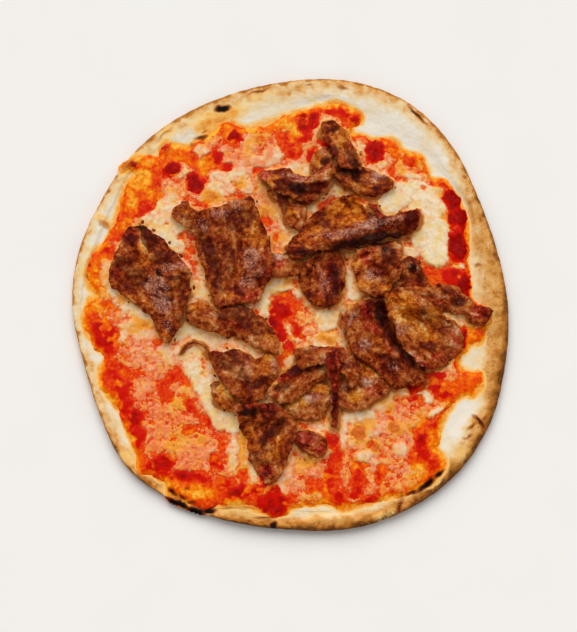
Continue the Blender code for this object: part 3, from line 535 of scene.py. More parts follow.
def make_body(sheet, floor_mm):
    """Gives a sheet a flat underside inside what it lies on, with few faces, as nobody sees it."""
    top_count = len(sheet.data.vertices)
    depth = sheet.modifiers.new("depth", "SOLIDIFY")
    depth.thickness = MM
    depth.offset = -1
    apply_modifiers(sheet)
    points = read(sheet.data.vertices, "co")
    points[top_count:, 2] = floor_mm * MM
    points[top_count:, :2] = points[:top_count, :2]
    put_points(sheet, points)
    select_only(sheet, "vertices", np.arange(len(points)) >= top_count)
    bpy.ops.mesh.decimate(ratio=UNDERSIDE_FACES)
    bpy.ops.object.mode_set(mode="OBJECT")


shore = rounded_corners(SHORE)


def on_sauce(points):
    """The points that the sauce covers, with 2 mm to spare."""
    return within_shore(points[:, 0] / MM, points[:, 1] / MM, shore) > -2


sauce = sheet_of("tomato_sauce", SAUCE_CELL, on_sauce)
points = read(sauce.data.vertices, "co")
edge = within_shore(*strayed(points, 1.4), shore)
bearing = np.arctan2(points[:, 1], points[:, 0])
inset = (around(outline, bearing) - np.hypot(points[:, 0], points[:, 1])) / MM
edge = np.minimum(edge, inset - SAUCE_STOPS_MM)
below = tops(surface_of(crust), points, DOUGH_TOP) / MM
thickness = SAUCE_THICKNESS_MM - 1.1 * smooth_step(5.3, 7.5, below)
profile = np.interp(edge, (-2, -0.4, 0.3, 1.2, 3.5), (-0.5, -0.25, 0.12, 0.5, 1))
lumpy = (0.16 * ripple(points, 9, 21, 2) + 0.07 * ripple(points, 2.2, 22)) * smooth_step(0, 3, edge)
sauce_x, sauce_y = strayed(points)
pooled = POOL_MM * patchwork(sauce_x, sauce_y, RED_POOLS, 1.6) * smooth_step(0, 3, edge)
points[:, 2] = (below + np.where(profile > 0, thickness * profile, profile) + lumpy + pooled) * MM
put_points(sauce, points)


def depth_of_red(points, x, y):
    """How deep and clean the sauce is, from 0 to 1."""
    return patchwork(x, y, RED_POOLS, 2.8) + 0.24 * ripple(points, 4, 24, 3)


def share_of_oil(points, x, y, edge):
    """How much oil has come out of the sauce, more of it along the shore, from 0 to 1."""
    wide = 0.8 + around(SOAKED_MM, np.arctan2(points[:, 1], points[:, 0]))
    fringe = (0.55 + 0.07 * wide) * (1 - smooth_step(0.2, 1.2, edge / wide))
    fringe *= smooth_step(-0.9, 0.2, ripple(points, 14, 23))
    beads = 0.55 * smooth_step(0.25, 0.75, ripple(points, 7, 28, 2))
    oil = np.maximum(patchwork(x, y, OIL_POOLS, 3.2), np.maximum(fringe, beads))
    oil += 0.3 * ripple(points, 3.6, 25, 3)
    return oil - 0.8 * smooth_step(0.7, 1.0, patchwork(x, y, RED_POOLS, 1.6))


store(
    sauce,
    depth=depth_of_red(points, sauce_x, sauce_y),
    oil=share_of_oil(points, sauce_x, sauce_y, edge),
    char=patchwork(*strayed(points, 0.9), CHAR_MARKS, 1.3),
)
make_body(sauce, SAUCE_FLOOR_MM)

# The flat dough that shows beside the sauce has wide faces, and they are cut until they are fine
for _ in range(HALVINGS):
    ends = edge_ends(crust)
    wide = np.flatnonzero((lengths(ends) > LONGEST_SEEN) & (ends[:, :, 2].mean(1) > DOUGH_TOP - MM))
    places = np.concatenate([ends[wide, 0], ends[wide, 1], ends[wide].mean(1)]) / MM
    outside = -within_shore(places[:, 0], places[:, 1], shore).reshape(3, -1)
    chosen = np.zeros(len(ends), bool)
    chosen[wide[((outside > -1.5) & (outside < SEEN_BESIDE_MM)).any(0)]] = True
    cut_edges(crust, chosen, 1)
crust_points = read(crust.data.vertices, "co")
outside = -within_shore(*strayed(crust_points, 0.8), shore)
reach = around(SOAKED_MM, np.arctan2(crust_points[:, 1], crust_points[:, 0]))
reach *= 1.1 + 0.6 * ripple(crust_points, 14, 26)
soaked = (1 - smooth_step(-0.1, 1, outside / np.maximum(reach, 0.8))) * (crust_points[:, 2] > 3 * MM)
store(crust, soaked=soaked * (0.85 + 0.25 * ripple(crust_points, 3, 27, 2)))


def sauce_colour(tree, place):
    """Tomato sauce from deep red pools to orange and yellow oil."""
    depth = unsettled(tree, place, layer_of(tree, "depth"), 1.6, 0.3)
    oil = unsettled(tree, place, layer_of(tree, "oil"), 1.8, 0.6, 4)
    mottle = grain(tree, place, 2.2, 3)
    coats = coats_by(tree, mottle, (0.45, 0.7, 0.8, "#f2661a"))
    coats += coats_by(tree, depth, (0.05, 0.5, 1, "#cc1002"), (0.5, 1.05, 1, "#860200"))
    coats += coats_by(
        tree, oil, (0.15, 0.5, 1, "#ea5604"), (0.45, 0.8, 1, "#f28406"), (0.75, 1.05, 1, "#fab43a")
    )
    coats += coats_by(tree, mottle, (0.50, 0.34, 0.45, "#b80e00"))
    return layered(tree, linear("#e03a06"), coats)


# Passed tomato: wet and smooth, with fine pulp in it, scorched where it has run out over the rim
tomato, tree, shader, place = new_material("oily_tomato_sauce")
scorched = coats_by(tree, layer_of(tree, "char"), (0.1, 0.5, 0.8, "#7a2404"), (0.45, 0.9, 1, "#1a0402"))
colour = layered(tree, sauce_colour(tree, place), scorched)
finish_surface(tree, shader, colour, 0.25, 0.03, grain(tree, place, PULP_MM, 3), 0.4)
sauce.data.materials.append(tomato)
sauce.data.shade_smooth()
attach(sauce, "root")
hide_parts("sauce")

# Melted cheese: grated mozzarella that has run together on the sauce. Where it was thick it is a smooth
# cream sheet, and where it was thin it has broken into grains that float in the oil and the sauce.
CHEESE_CELL = 0.75 * MM
GRAIN_MM = 2.7
SAUCE_TOP_MM = 6.6  # where the sauce doesn't reach a place
CHEESE_FOOT_MM = 7.0  # the solid's height where its cheese is thinnest
CHEESE_FLOOR_MM = 5.6  # its unseen underside, inside the sauce
BED_SPARE_MM = 2.5  # how far the cheese reaches out past each slice on it
CLINGS_MM = 2.5  # how far the cheese is drawn up to the meat at most
CLINGS_WITHIN_MM = 3.0
JUICE_MM = 3.0  # how far the meat's fat and juice have run over it, with painted shade at the slices' edges
SEARCH = 10 * MM  # how far off a slice is looked for
# Puddles: middle x and y, half length, half width, turn, and amount. Below 0.8 the cheese is broken up
PUDDLES = (
    (-62, 107, 6, 5, 20, 1.0), (-53, 113, 6, 3, 30, 0.9), (-75, 91, 7, 5, -30, 0.9),
    (-71, 86, 7, 5, 0, 0.75), (-86, 82, 9, 6, 0, 0.6), (-80, 76, 10, 6, 0, 0.8), (-84, 64, 12, 11, 20, 1.0),
    (-95, 56, 10, 8, 30, 1.0), (-62, 77, 12, 6, 0, 0.85), (-49, 85, 10, 8, 0, 0.95),
    (-72, 66, 6, 5, 0, 0.9), (-78, 52, 9, 7, 0, 1.0), (-86, 44, 11, 8, -40, 1.1), (-76, 38, 6, 5, -40, 1.0),
    (-66, 40, 6, 14, 5, 0.6), (-60, 22, 5, 8, 10, 0.6), (-46, 105, 5, 6, 0, 0.7),
    (-36, 99, 12, 7, 10, 0.85), (-28, 109, 6, 9, 0, 0.75), (-22, 114, 12, 7, 0, 0.5),
    (-11, 104, 9, 7, 0, 1.0), (-20, 98, 14, 5, -5, 1.0), (-38, 90, 14, 5, 10, 1.0),
    (-48, 78, 12, 7, 0, 0.95), (-30, 80, 6, 6, 0, 0.95), (-33, 86, 10, 5, 0, 0.8), (4, 94, 9, 4, -15, 1.0),
    (11, 92, 6, 3, 0, 1.15), (13, 108, 13, 4, 62, 0.8), (20, 119, 10, 2.6, 62, 0.9),
    # The puddle at x 36, y 132 is a painted highlight: a pale pink streak on the sauce where there is only
    # sheen
    (9, 100, 3, 7, 15, 0.7), (2, 121, 8, 4, 0, 0.5), (36, 132, 4, 1.6, -20, 0.7), (28, 81, 10, 5, 0, 1.2),
    (22, 73, 5, 4, 20, 0.9), (16, 66, 4, 5, -15, 1.2), (36, 76, 6, 5, 30, 1.0),
    (-24, 62, 3.5, 16, 18, 0.95), (-19, 72, 7, 9, 0, 0.7), (-14, 62, 7, 12, 5, 0.65),
    (-7, 56, 4, 7, 0, 0.9), (-3, 51, 4.5, 3.5, 0, 1.2), (-10, 44, 8, 7, 0, 0.75), (-16, 44, 2, 8, 15, 0.95),
    (-9, 38, 6, 2, 10, 0.95), (50, 124, 4, 8, 40, 0.7), (49, 108, 4, 7, 0, 0.9), (54, 111, 5, 4, -40, 0.7),
    (63, 97, 5, 3.5, 45, 1.1), (68, 100, 5, 6, 0, 0.8), (74, 103, 8, 7, 0, 0.45), (78, 94, 7, 6, 0, 0.5),
    (87, 98, 6, 7, 0, 0.45), (84, 89, 12, 4, -10, 1.0), (95, 85, 5, 3, -20, 0.9), (90, 78, 14, 8, 0, 1.2),
    (73, 80, 10, 5, 30, 1.1), (70, 70, 17, 8, 10, 1.2), (95, 66, 13, 12, 0, 1.2), (102, 75, 6, 5, 0, 0.6),
    (104, 82, 6, 4, 0, 0.45), (102, 69, 8, 2.4, -15, 0.9), (108, 61, 6, 7, 0, 0.5),
    (113, 50, 6, 1.6, 15, 0.85), (97, 47, 14, 14, 0, 1.2), (84, 34, 10, 5, 10, 1.1),
    (101, 33, 10, 9, -15, 1.4), (52, 80, 8, 3, 10, 1.0), (41, 14, 3.6, 14, 12, 1.15), (43, 3, 8, 5, 0, 1.1),
    (117, 23.5, 5.5, 2.6, 0, 1.2), (100, 16, 10, 6, 0, 0.3), (109, -10, 7, 4.5, -15, 1.1),
    (116, -15, 3, 3.5, 0, 0.85), (108, -43, 13, 2.6, 48, 1.1), (99, -52, 3, 4, 40, 0.9),
    (85, -52, 6, 2.5, -30, 0.8), (92, -57, 5, 2, -20, 0.85), (93, -67, 6.5, 3.2, -28, 1.15),
    (100, -77, 7, 3.2, 20, 1.1), (92, -75, 9, 6, 0, 0.5), (75, -78, 15, 14, 0, 0.5),
    (68, -62, 6, 6, 0, 1.05), (62, -74, 3.6, 7, 0, 1.0), (50, -78, 9, 7, 0, 1.1), (55, -88, 8, 8, 0, 0.9),
    (40, -80, 9, 7, 0, 1.05), (36, -92, 5, 12, 0, 1.0), (45, -93, 10, 11, 0, 0.75), (78, -86, 7, 7, 0, 0.8),
    (70, -95, 14, 14, 0, 0.5), (75, -104, 4.5, 6, 20, 1.15), (66, -88, 6, 6, 0, 0.7),
    (52, -107, 9, 4.5, 10, 1.1), (60, -112, 8, 4, 0, 0.85), (66, -120, 16, 14, 0, 0.5),
    (38, -120, 3.5, 16, -5, 0.6), (56, -125, 6, 10, 0, 0.6), (44, -138, 3, 2, 0, 0.9),
    (84, -124, 10, 6, 30, 0.2), (22, -88, 12, 4, 5, 0.95), (12, -82, 11, 4, 0, 0.85),
    (-3, -82, 5, 4, 0, 0.8), (14, -115, 12, 9, 0, 0.5), (14, -121, 9, 2, 0, 0.85), (4, -127, 10, 6, 0, 0.7),
    (1, -113, 3.2, 14, -8, 0.95), (-4, -130, 4.5, 4, 0, 0.9), (14, -137, 12, 4, 0, 0.5),
    (15, -141, 5, 1.4, 10, 0.8), (-24, -119, 5.5, 3.4, 15, 1.1), (-28, -122, 6, 3, 30, 0.8),
    (-31, -104, 4, 18, 0, 0.8), (-39, -106, 5, 16, 0, 0.95), (-38, -88, 7, 7, 0, 1.05),
    (-44, -80, 7, 8, -30, 1.05), (-30, -88, 4, 3, 0, 1.1), (-40, -76, 4, 3, 0, 1.2),
    (-20, -71, 12, 3, -8, 1.1), (-46, -120, 9, 12, 0, 0.45), (-80, -88, 34, 26, -58, 0.46),
    (-66, -102, 16, 12, 0, 0.58), (-57, -106, 7, 3.5, 20, 0.85), (-57, -115, 3, 3, 0, 0.9),
    (-68, -108, 6, 3, 30, 0.8), (-90, -103, 8, 3, 20, 0.7), (-98, -62, 8, 4, 10, 0.8),
    (-108, -66, 4, 3, 0, 0.6), (-111, -77, 2.6, 2, 20, 0.75), (-106, -73, 1.8, 2, 0, 0.7),
    (-100, -58, 12, 5, 20, 0.5), (-75, -71, 8, 6, 0, 0.65), (-74, -37, 8, 6, -30, 1.0),
    (-67, -47, 8, 8, -60, 1.1), (-60, -59, 10, 8, -65, 1.1), (-55, -70, 9, 8, -60, 1.1),
    (-49, -82, 9, 7, -45, 1.05), (-66, -34, 6, 4, 0, 0.95), (-122, 6, 6, 5, -30, 1.1),
    (-112, -4, 9, 5, -15, 1.05), (-96, -11, 13, 6, -25, 1.05), (-104, -18, 10, 8, 0, 0.9),
    (-114, -21, 4.5, 10, -10, 0.95), (-99, -24, 12, 5, 0, 0.9), (-104, -34, 13, 8, 0, 0.6),
    (-99, -41, 12, 8, 0, 0.55), (-95, -48, 5, 4, 0, 0.85), (-85, -34, 8, 5, 0, 0.85),
    (-82, -40, 8, 7, 0, 0.9), (-90, -48, 9, 6, 0, 0.6), (-77, -20, 9, 11, -10, 1.1),
    (-64, -21, 14, 5, -15, 1.1), (-63, -12, 8, 10, 30, 1.0), (-60, 6, 6, 10, 15, 1.05),
    (-66, 8, 5, 10, 0, 0.95), (-57, -28, 14, 6, -20, 1.0), (-46, -24, 9, 6, -30, 1.0),
    (-113, -42, 8, 7, 0, 0.42), (-116, -10, 5, 4, 0, 0.7), (-120, -16, 3, 6, 0, 0.5),
    (-130, 3, 5, 4, 0, 0.7), (-127, -8, 7, 6, 0, 0.25), (-107, 50, 4, 3, 0, 0.8), (-99, 61, 5, 4, 0, 0.8),
    (-108, 57, 4, 3, 0, 0.8), (-13, 11, 10, 8, 40, 1.05), (-19, 0, 6, 10, 0, 1.1), (-4, 8, 10, 3.6, 0, 1.1),
    (6, 4, 6, 3, -25, 1.0), (13, -3, 4, 3.4, -30, 1.05), (-18, -8, 5, 5, 0, 1.15),
    (-1, -22, 7, 2.8, -62, 0.95), (5, -28, 5, 2.6, -45, 0.85), (8, -15, 9, 7, 0, 0.55),
    (16, -18, 9, 10, 0, 0.75), (26, -13, 11, 10, 0, 1.1), (22, -28, 14, 6, 0, 0.95),
    (35, -31, 6, 2.6, -30, 1.1), (32, -4, 5, 4, 0, 0.9), (8, 27, 5.5, 4, 10, 1.2),
    (-33, -27, 9, 6, -10, 0.45), (-26, -38, 3.6, 6, -15, 1.1), (-24, -31, 6, 3.5, -10, 0.9),
    (1, -42, 3.6, 7, -35, 1.1), (10, -34, 5, 3, 0, 0.6), (64, 4, 9, 3, 0, 0.6), (68, 8, 4, 4, 0, 0.9),
    (-30, 3, 9, 4, 20, 0.4), (-22, -2, 4, 4, 0, 0.8),
)
# Where the sauce below shines through the cheese and turns it pink: the last value is how much
BLUSHES = (
    (-30, 104, 26, 13, 0, 0.8), (-17, 66, 8, 22, 10, 0.8), (12, 108, 15, 8, 60, 0.8),
    (-92, -36, 24, 14, 0, 0.6), (70, -98, 26, 24, 0, 0.75), (10, -120, 22, 14, 0, 0.85),
    (-80, -88, 36, 26, -58, 1.15), (104, 78, 8, 12, 30, 0.6), (-66, 36, 6, 18, 5, 0.7),
    (-84, 78, 12, 7, 0, 0.4), (100, -50, 14, 10, 45, 0.7), (-120, -10, 10, 14, 0, 0.4),
)
# Where the fat of several slices has run together on it in the gaps between them, and its brown is also
# painted shade
FATTY = (
    (16, -60, 30, 16, -10, 1.0), (46, -68, 26, 12, 20, 0.8), (72, 2, 12, 8, 0, 1.0),
    (-8, -46, 8, 16, 20, 0.8), (62, 36, 26, 10, 10, 0.8), (-42, -66, 12, 10, -30, 0.7),
    (30, 82, 16, 8, 20, 0.6), (46, -2, 10, 8, 0, 0.7), (-14, 26, 8, 10, 0, 0.7), (8, -78, 22, 8, 0, 0.7),
    (94, -50, 16, 6, 40, 0.6), (-60, -2, 12, 8, 0, 0.4), (2, 74, 12, 10, 0, 0.5),
)
# Where it has caught the heat: yellow, and orange brown in the middle
TOASTED = (
    (47, -93, 6, 5.5, 20, 1.0), (57, -102, 5, 4, 0, 1.0), (55, -86, 4, 3, 0, 0.5), (25, -27, 6, 4, 0, 0.6),
    (-54, 73, 7, 4.5, -15, 0.65), (-32, -100, 2.6, 10, 0, 0.65), (-33, -120, 3.6, 3.6, 0, 1.0),
    (-100, -17, 5, 4, 0, 0.6), (-115, 1, 4, 3, 0, 0.8), (-22, 114, 5, 4, 0, 0.7), (-8, 125, 6, 3, 0, 0.5),
    (-60, 112, 2, 6, -40, 0.4), (88, 60, 3, 4, 0, 0.4), (72, -88, 5, 5, 0, 0.7), (68, -76, 3, 5, 0, 0.6),
    (84, -92, 3, 7, 30, 0.7), (62, -68, 4, 6, 20, 0.6), (44, -112, 3, 2, 0, 0.4), (12, -112, 6, 4, 0, 0.5),
    (-8, 44, 6, 4, 0, 0.5), (-18, 62, 4, 6, 0, 0.6), (-80, -100, 6, 4, 0, 0.5), (-72, -92, 5, 6, 0, 0.6),
    (-76, -72, 5, 5, 0, 0.5), (-62, -96, 3, 5, 0, 0.5), (-63, 9, 2.5, 4, 0, 0.5), (-34, 82, 4, 3, 0, 0.5),
)

meat_nodes = {name: node for name, node in sorted(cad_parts.items()) if name.startswith("meat_")}


def oval_round(node, spare_mm, amount):
    """The oval patch that a CAD node covers from above, with a little to spare."""
    plan = read(node.data.vertices, "co")[:, :2] / MM
    spreads, ways = np.linalg.eigh(np.cov(plan.T))
    half_width, half_length = 1.9 * spreads**0.5 + spare_mm
    return (*plan.mean(0), half_length, half_width, math.degrees(math.atan2(ways[1, 1], ways[0, 1])), amount)


# The slices were laid on melted cheese, so it reaches up to them on every side
beds = tuple(oval_round(node, BED_SPARE_MM, 0.9) for node in meat_nodes.values())
clean_pools = tuple((*pool[:5], 1.0) for pool in RED_POOLS)


def lumps(points, size_mm):
    """Rounded grains side by side: 1 at the middle of each one and 0 in the gaps between them."""
    places = (points / (size_mm * MM)).tolist()
    gaps = np.array([np.subtract(*noise.voronoi(place)[0][1::-1]) for place in places])
    return smooth_step(0.02, 0.42, gaps)


def cheese_amount(points):
    """How much cheese lies at each point: below 0 none, under 1 broken into grains, above 1 a thick sheet."""
    x, y = strayed(points)
    amount = patchwork(x, y, PUDDLES + beds, 2.6)
    broken = np.exp(-(((amount - 0.5) / 0.36) ** 2))
    flat = points * (1, 1, 0)
    crumb = lumps(flat + 0.5 * MM * ripple(points, 2.5, 31)[:, None], GRAIN_MM)
    most = 0.16 + amount
    amount += broken * (0.5 * crumb - 0.24 + 0.34 * ripple(points, 3.2, 32, 3))
    amount += 0.16 * ripple(points, 4, 36, 3)
    amount = np.minimum(amount, most)
    amount -= 0.95 * patchwork(x, y, clean_pools, 1.6)
    return amount - 1.5 * (1 - smooth_step(-0.5, 2.5, within_shore(x, y, shore)))


def on_cheese(points):
    """The points where there is cheese, with a little to spare."""
    return cheese_amount(points) > -0.02


def surface_of_all(nodes, scale):
    """The faces of several CAD nodes together, scaled, without the ones that stand upright."""
    corners, faces = [], []
    for node in nodes:
        level = [face for face in node.data.polygons if abs(face.normal.z) > 0.2]
        faces += [tuple(len(corners) + corner for corner in face.vertices) for face in level]
        corners += [vertex.co * Vector(scale) for vertex in node.data.vertices]
    return BVHTree.FromPolygons(corners, faces)


def nearest(surface, points, most):
    """For each point how far the surface is, up to a limit, and how high its nearest place is."""
    rows = []
    for point in points.tolist():
        place, _, _, distance = surface.find_nearest(Vector(point), most)
        rows.append((most, point[2]) if place is None else (distance, place.z))
    return np.array(rows).T


cheese = sheet_of("melted_cheese", CHEESE_CELL, on_cheese)
points = read(cheese.data.vertices, "co")
amount = cheese_amount(points)
below = tops(surface_of(sauce), points, SAUCE_TOP_MM * MM) / MM
stands = np.clip(tops(surface_of(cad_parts["cheese"]), points, 0) / MM - CHEESE_FOOT_MM, 0, 2.2)
film = 0.35 * smooth_step(0.05, 0.9, amount)
swollen = 0.5 * stands * smooth_step(0.3, 1.1, amount) + 0.4 * smooth_step(0.9, 1.4, amount)
wrinkle = (0.13 * ripple(points, 5, 33, 3) + 0.05 * ripple(points, 1.7, 34)) * smooth_step(0.1, 0.6, amount)
sunk = -0.45 * (1 - smooth_step(-0.02, 0.22, amount))
points[:, 2] = (below + film + swollen + wrinkle + sunk) * MM
meat_plan = surface_of_all(meat_nodes.values(), (1, 1, 0))
beside, _ = nearest(meat_plan, points * (1, 1, 0), SEARCH) / MM
broad_slices = [node for name, node in meat_nodes.items() if name != "meat_curl"]
_, meat_height = nearest(surface_of_all(broad_slices, (1, 1, 1)), points, 12 * MM)
climb = np.clip(meat_height / MM - 0.2 - points[:, 2] / MM, 0, CLINGS_MM)
points[:, 2] += climb * (1 - smooth_step(0, CLINGS_WITHIN_MM, beside)) * smooth_step(0.2, 0.7, amount) * MM
put_points(cheese, points)
cheese_x, cheese_y = strayed(points)
# Painted shade beside the meat: the juice colour turns dark brown right at the slices' edges and in the gaps
# between them
run_out = beside + ripple(points, 4, 37, 2) - 2.4 * smooth_step(0.1, 0.8, ripple(points, 15, 38))
run_out -= 3.0 * patchwork(cheese_x, cheese_y, FATTY, 5.0)
store(
    cheese,
    cheese=amount / 1.25,
    depth=depth_of_red(points, cheese_x, cheese_y),
    oil=share_of_oil(points, cheese_x, cheese_y, within_shore(cheese_x, cheese_y, shore)),
    juice=1 - smooth_step(0, JUICE_MM, run_out),
    blush=patchwork(cheese_x, cheese_y, BLUSHES, 5.0) + 0.3 * ripple(points, 6, 39, 3),
    toasted=patchwork(cheese_x, cheese_y, TOASTED, 3.0) + 0.1 * ripple(points, 5, 40, 2),
)
make_body(cheese, CHEESE_FLOOR_MM)

# Mozzarella skin: soft and fatty. Sauce tints it pink to orange where it is thin, and oil turns it yellow
mozzarella, tree, shader, place = new_material("melted_mozzarella")
covering = unsettled(tree, place, layer_of(tree, "cheese"), 2.2, 0.55, 3)
coats = coats_by(
    tree, covering,
    (0.02, 0.24, 1, "#e24a0c"), (0.20, 0.42, 1, "#ec702a"), (0.38, 0.60, 1, "#ee8648"),
    (0.54, 0.74, 1, "#ecb084"), (0.70, 0.88, 1, "#e8cca4"), (0.88, 1.00, 1, "#ecd9b8"),
)
yellowed = worked_out(tree, "MULTIPLY", share_of(tree, covering, 0.4, 0.7), grain(tree, place, 7, 3))
coats += coats_by(tree, yellowed, (0.44, 0.66, 0.7, "#e8c874"))
coats += coats_by(tree, grain(tree, place, 4.5, 4), (0.56, 0.68, 0.45, "#eea868"))
coats += coats_by(tree, layer_of(tree, "blush"), (0.1, 0.7, 0.45, "#e6aa84"), (0.6, 1.0, 0.6, "#ec6a1e"))
thin = share_of(tree, covering, 0.85, 0.55)
for size_mm, code in ((2.6, "#f6a870"), (3.4, "#dc4410"), (4.2, "#f0942c")):
    grains = worked_out(tree, "MULTIPLY", thin, grain(tree, place, size_mm, 3))
    coats += coats_by(tree, grains, (0.52, 0.62, 0.65, code))
oily = unsettled(tree, place, layer_of(tree, "oil"), 1.8, 0.7, 4)
coats += coats_by(tree, oily, (0.3, 0.65, 0.55, "#f2b654"), (0.6, 0.9, 0.85, "#ea921e"))
toast = unsettled(tree, place, layer_of(tree, "toasted"), 1.8, 0.5, 4)
coats += coats_by(tree, toast, (0.08, 0.4, 0.8, "#ee9e2a"), (0.4, 0.8, 0.85, "#cc5a14"))
# Fat and juice from the meat in golden, and dark brown next to the slices as painted shade
juice = unsettled(tree, place, layer_of(tree, "juice"), 2.2, 0.4, 4)
coats += coats_by(tree, juice, (0.1, 0.6, 0.7, "#f0a648"), (0.6, 1.0, 0.8, "#b05a1c"))
colour = layered(tree, sauce_colour(tree, place), coats)
finish_surface(tree, shader, colour, 0.35, 0.1, grain(tree, place, 1.4, 2), 0.35)
shader.inputs["Subsurface Weight"].default_value = 0.3
shader.inputs["Subsurface Radius"].default_value = (1.0, 0.8, 0.6)
shader.inputs["Subsurface Scale"].default_value = 2 * MM
cheese.data.materials.append(mozzarella)
cheese.data.shade_smooth()
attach(cheese, "root")
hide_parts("cheese")

# Kebab meat: minced and stacked meat, roasted on a spit and shaved off in thin slices. It is brown and
# granular, nearly black where it is seared and painted near black as shadow where it is folded under, and
# tan, ochre or mauve where fat shows, with painted highlights on the pale fat.
GRANULE_MM = 1.5
STREAK_MM = 3.2  # the layers of the spit show as streaks along each slice
FRAYED_MM = 1.5  # how far the thin torn edge stands out from the solid's, and where it does so less
LESS_FRAYED_MM = {
    "splinter": 0, "flake": 0, "curl": 0, "purple": 0, "shoulder": 0.5, "ridge": 0.9, "button": 0.9,
    "crown": 0.3, "shelf": 0.6, "lobe": 0.9, "tongue": 0.9, "arm": 1.0, "tuck": 0.8,
}
CURL_CRUMPLED = 0.3  # of how much a broad slice is
# How much lighter than the others some slices are roasted
LIGHTER = {
    "shoulder": 0.08, "lower": 0.05, "under": 0.12, "band": 0.04, "bridge": 0.06, "ridge": -0.04,
    "foot": 0.02, "strip": 0.06, "fringe": 0.15, "hem": 0.15, "hinge": 0.06, "tongue": 0.12, "pale": 0.12,
    "curl": 0.2, "scrap": 0.15, "tuck": 0.1, "fold": -0.03, "link": 0.05, "shelf": 0.02, "crown": 0.02,
    "button": -0.04, "knuckle": 0.05,
}
# For each slice the marks that it carries: middle x and y, half length, half width, turn, and strength
# The seared marks are partly real searing and partly painted shadow: the dark line under the ridge's fold,
# the crown's shadow on the lobe, and the creases between slices
SEARED = {
    "leaf": (
        (-104, 51, 5, 2.5, -20, 1), (-101, 46, 2, 4, 0, 0.8), (-90, 17, 2.6, 3.2, 0, 1),
        (-80, 13.5, 10, 1.8, 18, 0.6), (-90, 28, 6, 6, 0, 0.5), (-115, 25, 7, 6, 0, 0.5),
        (-105, 15, 9, 7, -30, 0.45), (-112, 42, 5, 6, 0, 0.4), (-97, 42, 6, 9, 10, 0.55),
        (-84, 7, 4, 2, 0, 0.6), (-74, 5, 3, 13, -10, 0.35),
    ),
    "broad": (
        (-55, 32, 5, 12, 12, 0.6), (-50, 12, 4, 10, 10, 0.5), (-36, 56, 12, 9, 0, 0.4),
        (-60, 44, 3, 8, 10, 0.4), (-18, 22, 2.5, 9, -5, 0.5), (-45, 26, 8, 14, 0, 0.3),
        (-23, 14, 2, 1.4, 0, 0.8),
    ),
    "strip": ((-35, -10, 14, 7, -15, 0.45), (-48, -12, 5, 3, -20, 0.6), (-24, -20, 10, 6, -30, 0.35)),
    "lower": (
        (-44, -43, 8, 8, 0, 0.45), (-21, -58, 7, 3.5, 20, 0.7), (-32, -56, 6, 5, 0, 0.5),
        (-38, -48, 6, 6, 0, 0.4),
    ),
    "hem": ((-51, -59, 3, 3, 0, 0.5),),
    "foot": (
        (-28, -79.5, 6, 3.2, 5, 1), (-12, -92, 10, 4, 35, 0.6), (-18, -98, 4, 5, 0, 0.5),
        (-20, -112, 6, 3, 0, 0.5), (-17, -78, 12, 3, -15, 0.4), (-6, -86, 3, 4, 0, 0.6),
    ),
    "scrap": ((-76, 59, 6, 1.4, -42, 0.5),),
    "tongue": ((-5, 70, 4, 10, 15, 0.5),),
    "shelf": (
        (5, 77, 8, 4.5, 0, 0.95), (18, 78, 7, 4, 15, 0.6), (-10, 91, 4, 4, 0, 0.3), (-6, 80, 4, 6, 0, 0.5),
    ),
    "tuck": ((24, 97, 4, 3.5, 30, 0.8), (20, 92, 4, 3, 0, 0.3)),
    "crown": (
        (26, 128, 3, 3.5, 0, 0.4), (31, 122, 3, 3, 0, 0.8), (30, 104, 4, 6, 0, 0.5),
        (42, 100, 4, 6, 0, 0.5), (45, 93, 3, 5, 10, 0.95),
    ),
    "lobe": (
        (37, 92, 6, 5, 0, 0.7), (45, 90, 4, 6, 0, 0.9), (60, 79.5, 7, 1.2, 20, 0.5),
        (45, 84, 6, 2, -35, 0.6),
    ),
    "ridge": (
        (52, 40, 26, 4.2, 11, 1), (34, 34, 7, 4, 10, 1), (8, 31.5, 9, 1.8, 0, 0.9),
        (72, 45, 8, 3.5, 15, 0.9), (84, 56, 5, 8, -30, 0.5), (24, 56, 5, 8, -30, 0.35),
    ),
    "link": ((-2, 32, 5, 1.4, 0, 0.7),),
    "button": (
        (31, 12, 3.2, 12, 5, 0.75), (28, 2, 6, 3.5, 20, 0.5), (8, 32.5, 11, 1.6, 0, 0.8),
        (14, 2, 3, 2, 0, 0.7),
    ),
    "hinge": (
        (68, 30, 6, 8, 0, 0.55), (66, 34, 3, 3.5, 0, 0.8), (62, 22, 9, 1.6, -38, 0.6),
        (60, 40, 12, 3, 5, 0.9),
    ),
    "knuckle": ((84, 21, 4, 4, 0, 0.85), (88, 14, 5, 3.5, 0, 0.5), (78, 14, 5, 3, 0, 0.4)),
    "arm": ((116, -2, 6, 3.5, -10, 0.7), (97, 2, 12, 4, 0, 0.3), (137, -7, 2, 1.4, 0, 0.6)),
    "fold": (
        (62, -10, 4, 12, 8, 1), (70, -27, 3, 12, 25, 0.9), (80, -42, 3, 10, 40, 0.85),
        (56, -3, 5, 6, 0, 0.6), (66, -41, 6, 3, -20, 0.6), (72, -45, 4, 6, 20, 0.5),
    ),
    "shoulder": (
        (91, -11, 3, 2.5, 0, 0.6), (95, -34, 6, 4, 0, 0.45), (88, -46, 12, 2, -20, 0.4),
        (108, -18, 5, 5, 0, 0.3), (86, -36, 6, 3, -30, 0.3),
    ),
    "pale": ((40, -24, 3, 4, 0, 0.5),),
    "under": ((39, -62, 3, 4, 0, 0.5), (60, -50, 5, 3, 0, 0.35)),
    "band": ((8, -48, 9, 4.5, 25, 0.65), (-6, -62, 6, 4, 25, 0.55), (20, -43, 4, 6, 0, 0.5)),
    "bridge": ((30, -43, 2, 6, 10, 0.4), (12, -38, 5, 2, 0, 0.4)),
    "fringe": ((-2, -66, 5, 3, 0, 0.3),),
    "splinter": ((30, -76, 1.4, 12, 0, 0.7), (29, -50, 3, 14, 0, 0.35)),
    "purple": ((5, -90, 4, 3, 0, 0.6),),
    "flake": ((60, 62, 5, 9, 30, 0.2),),
}
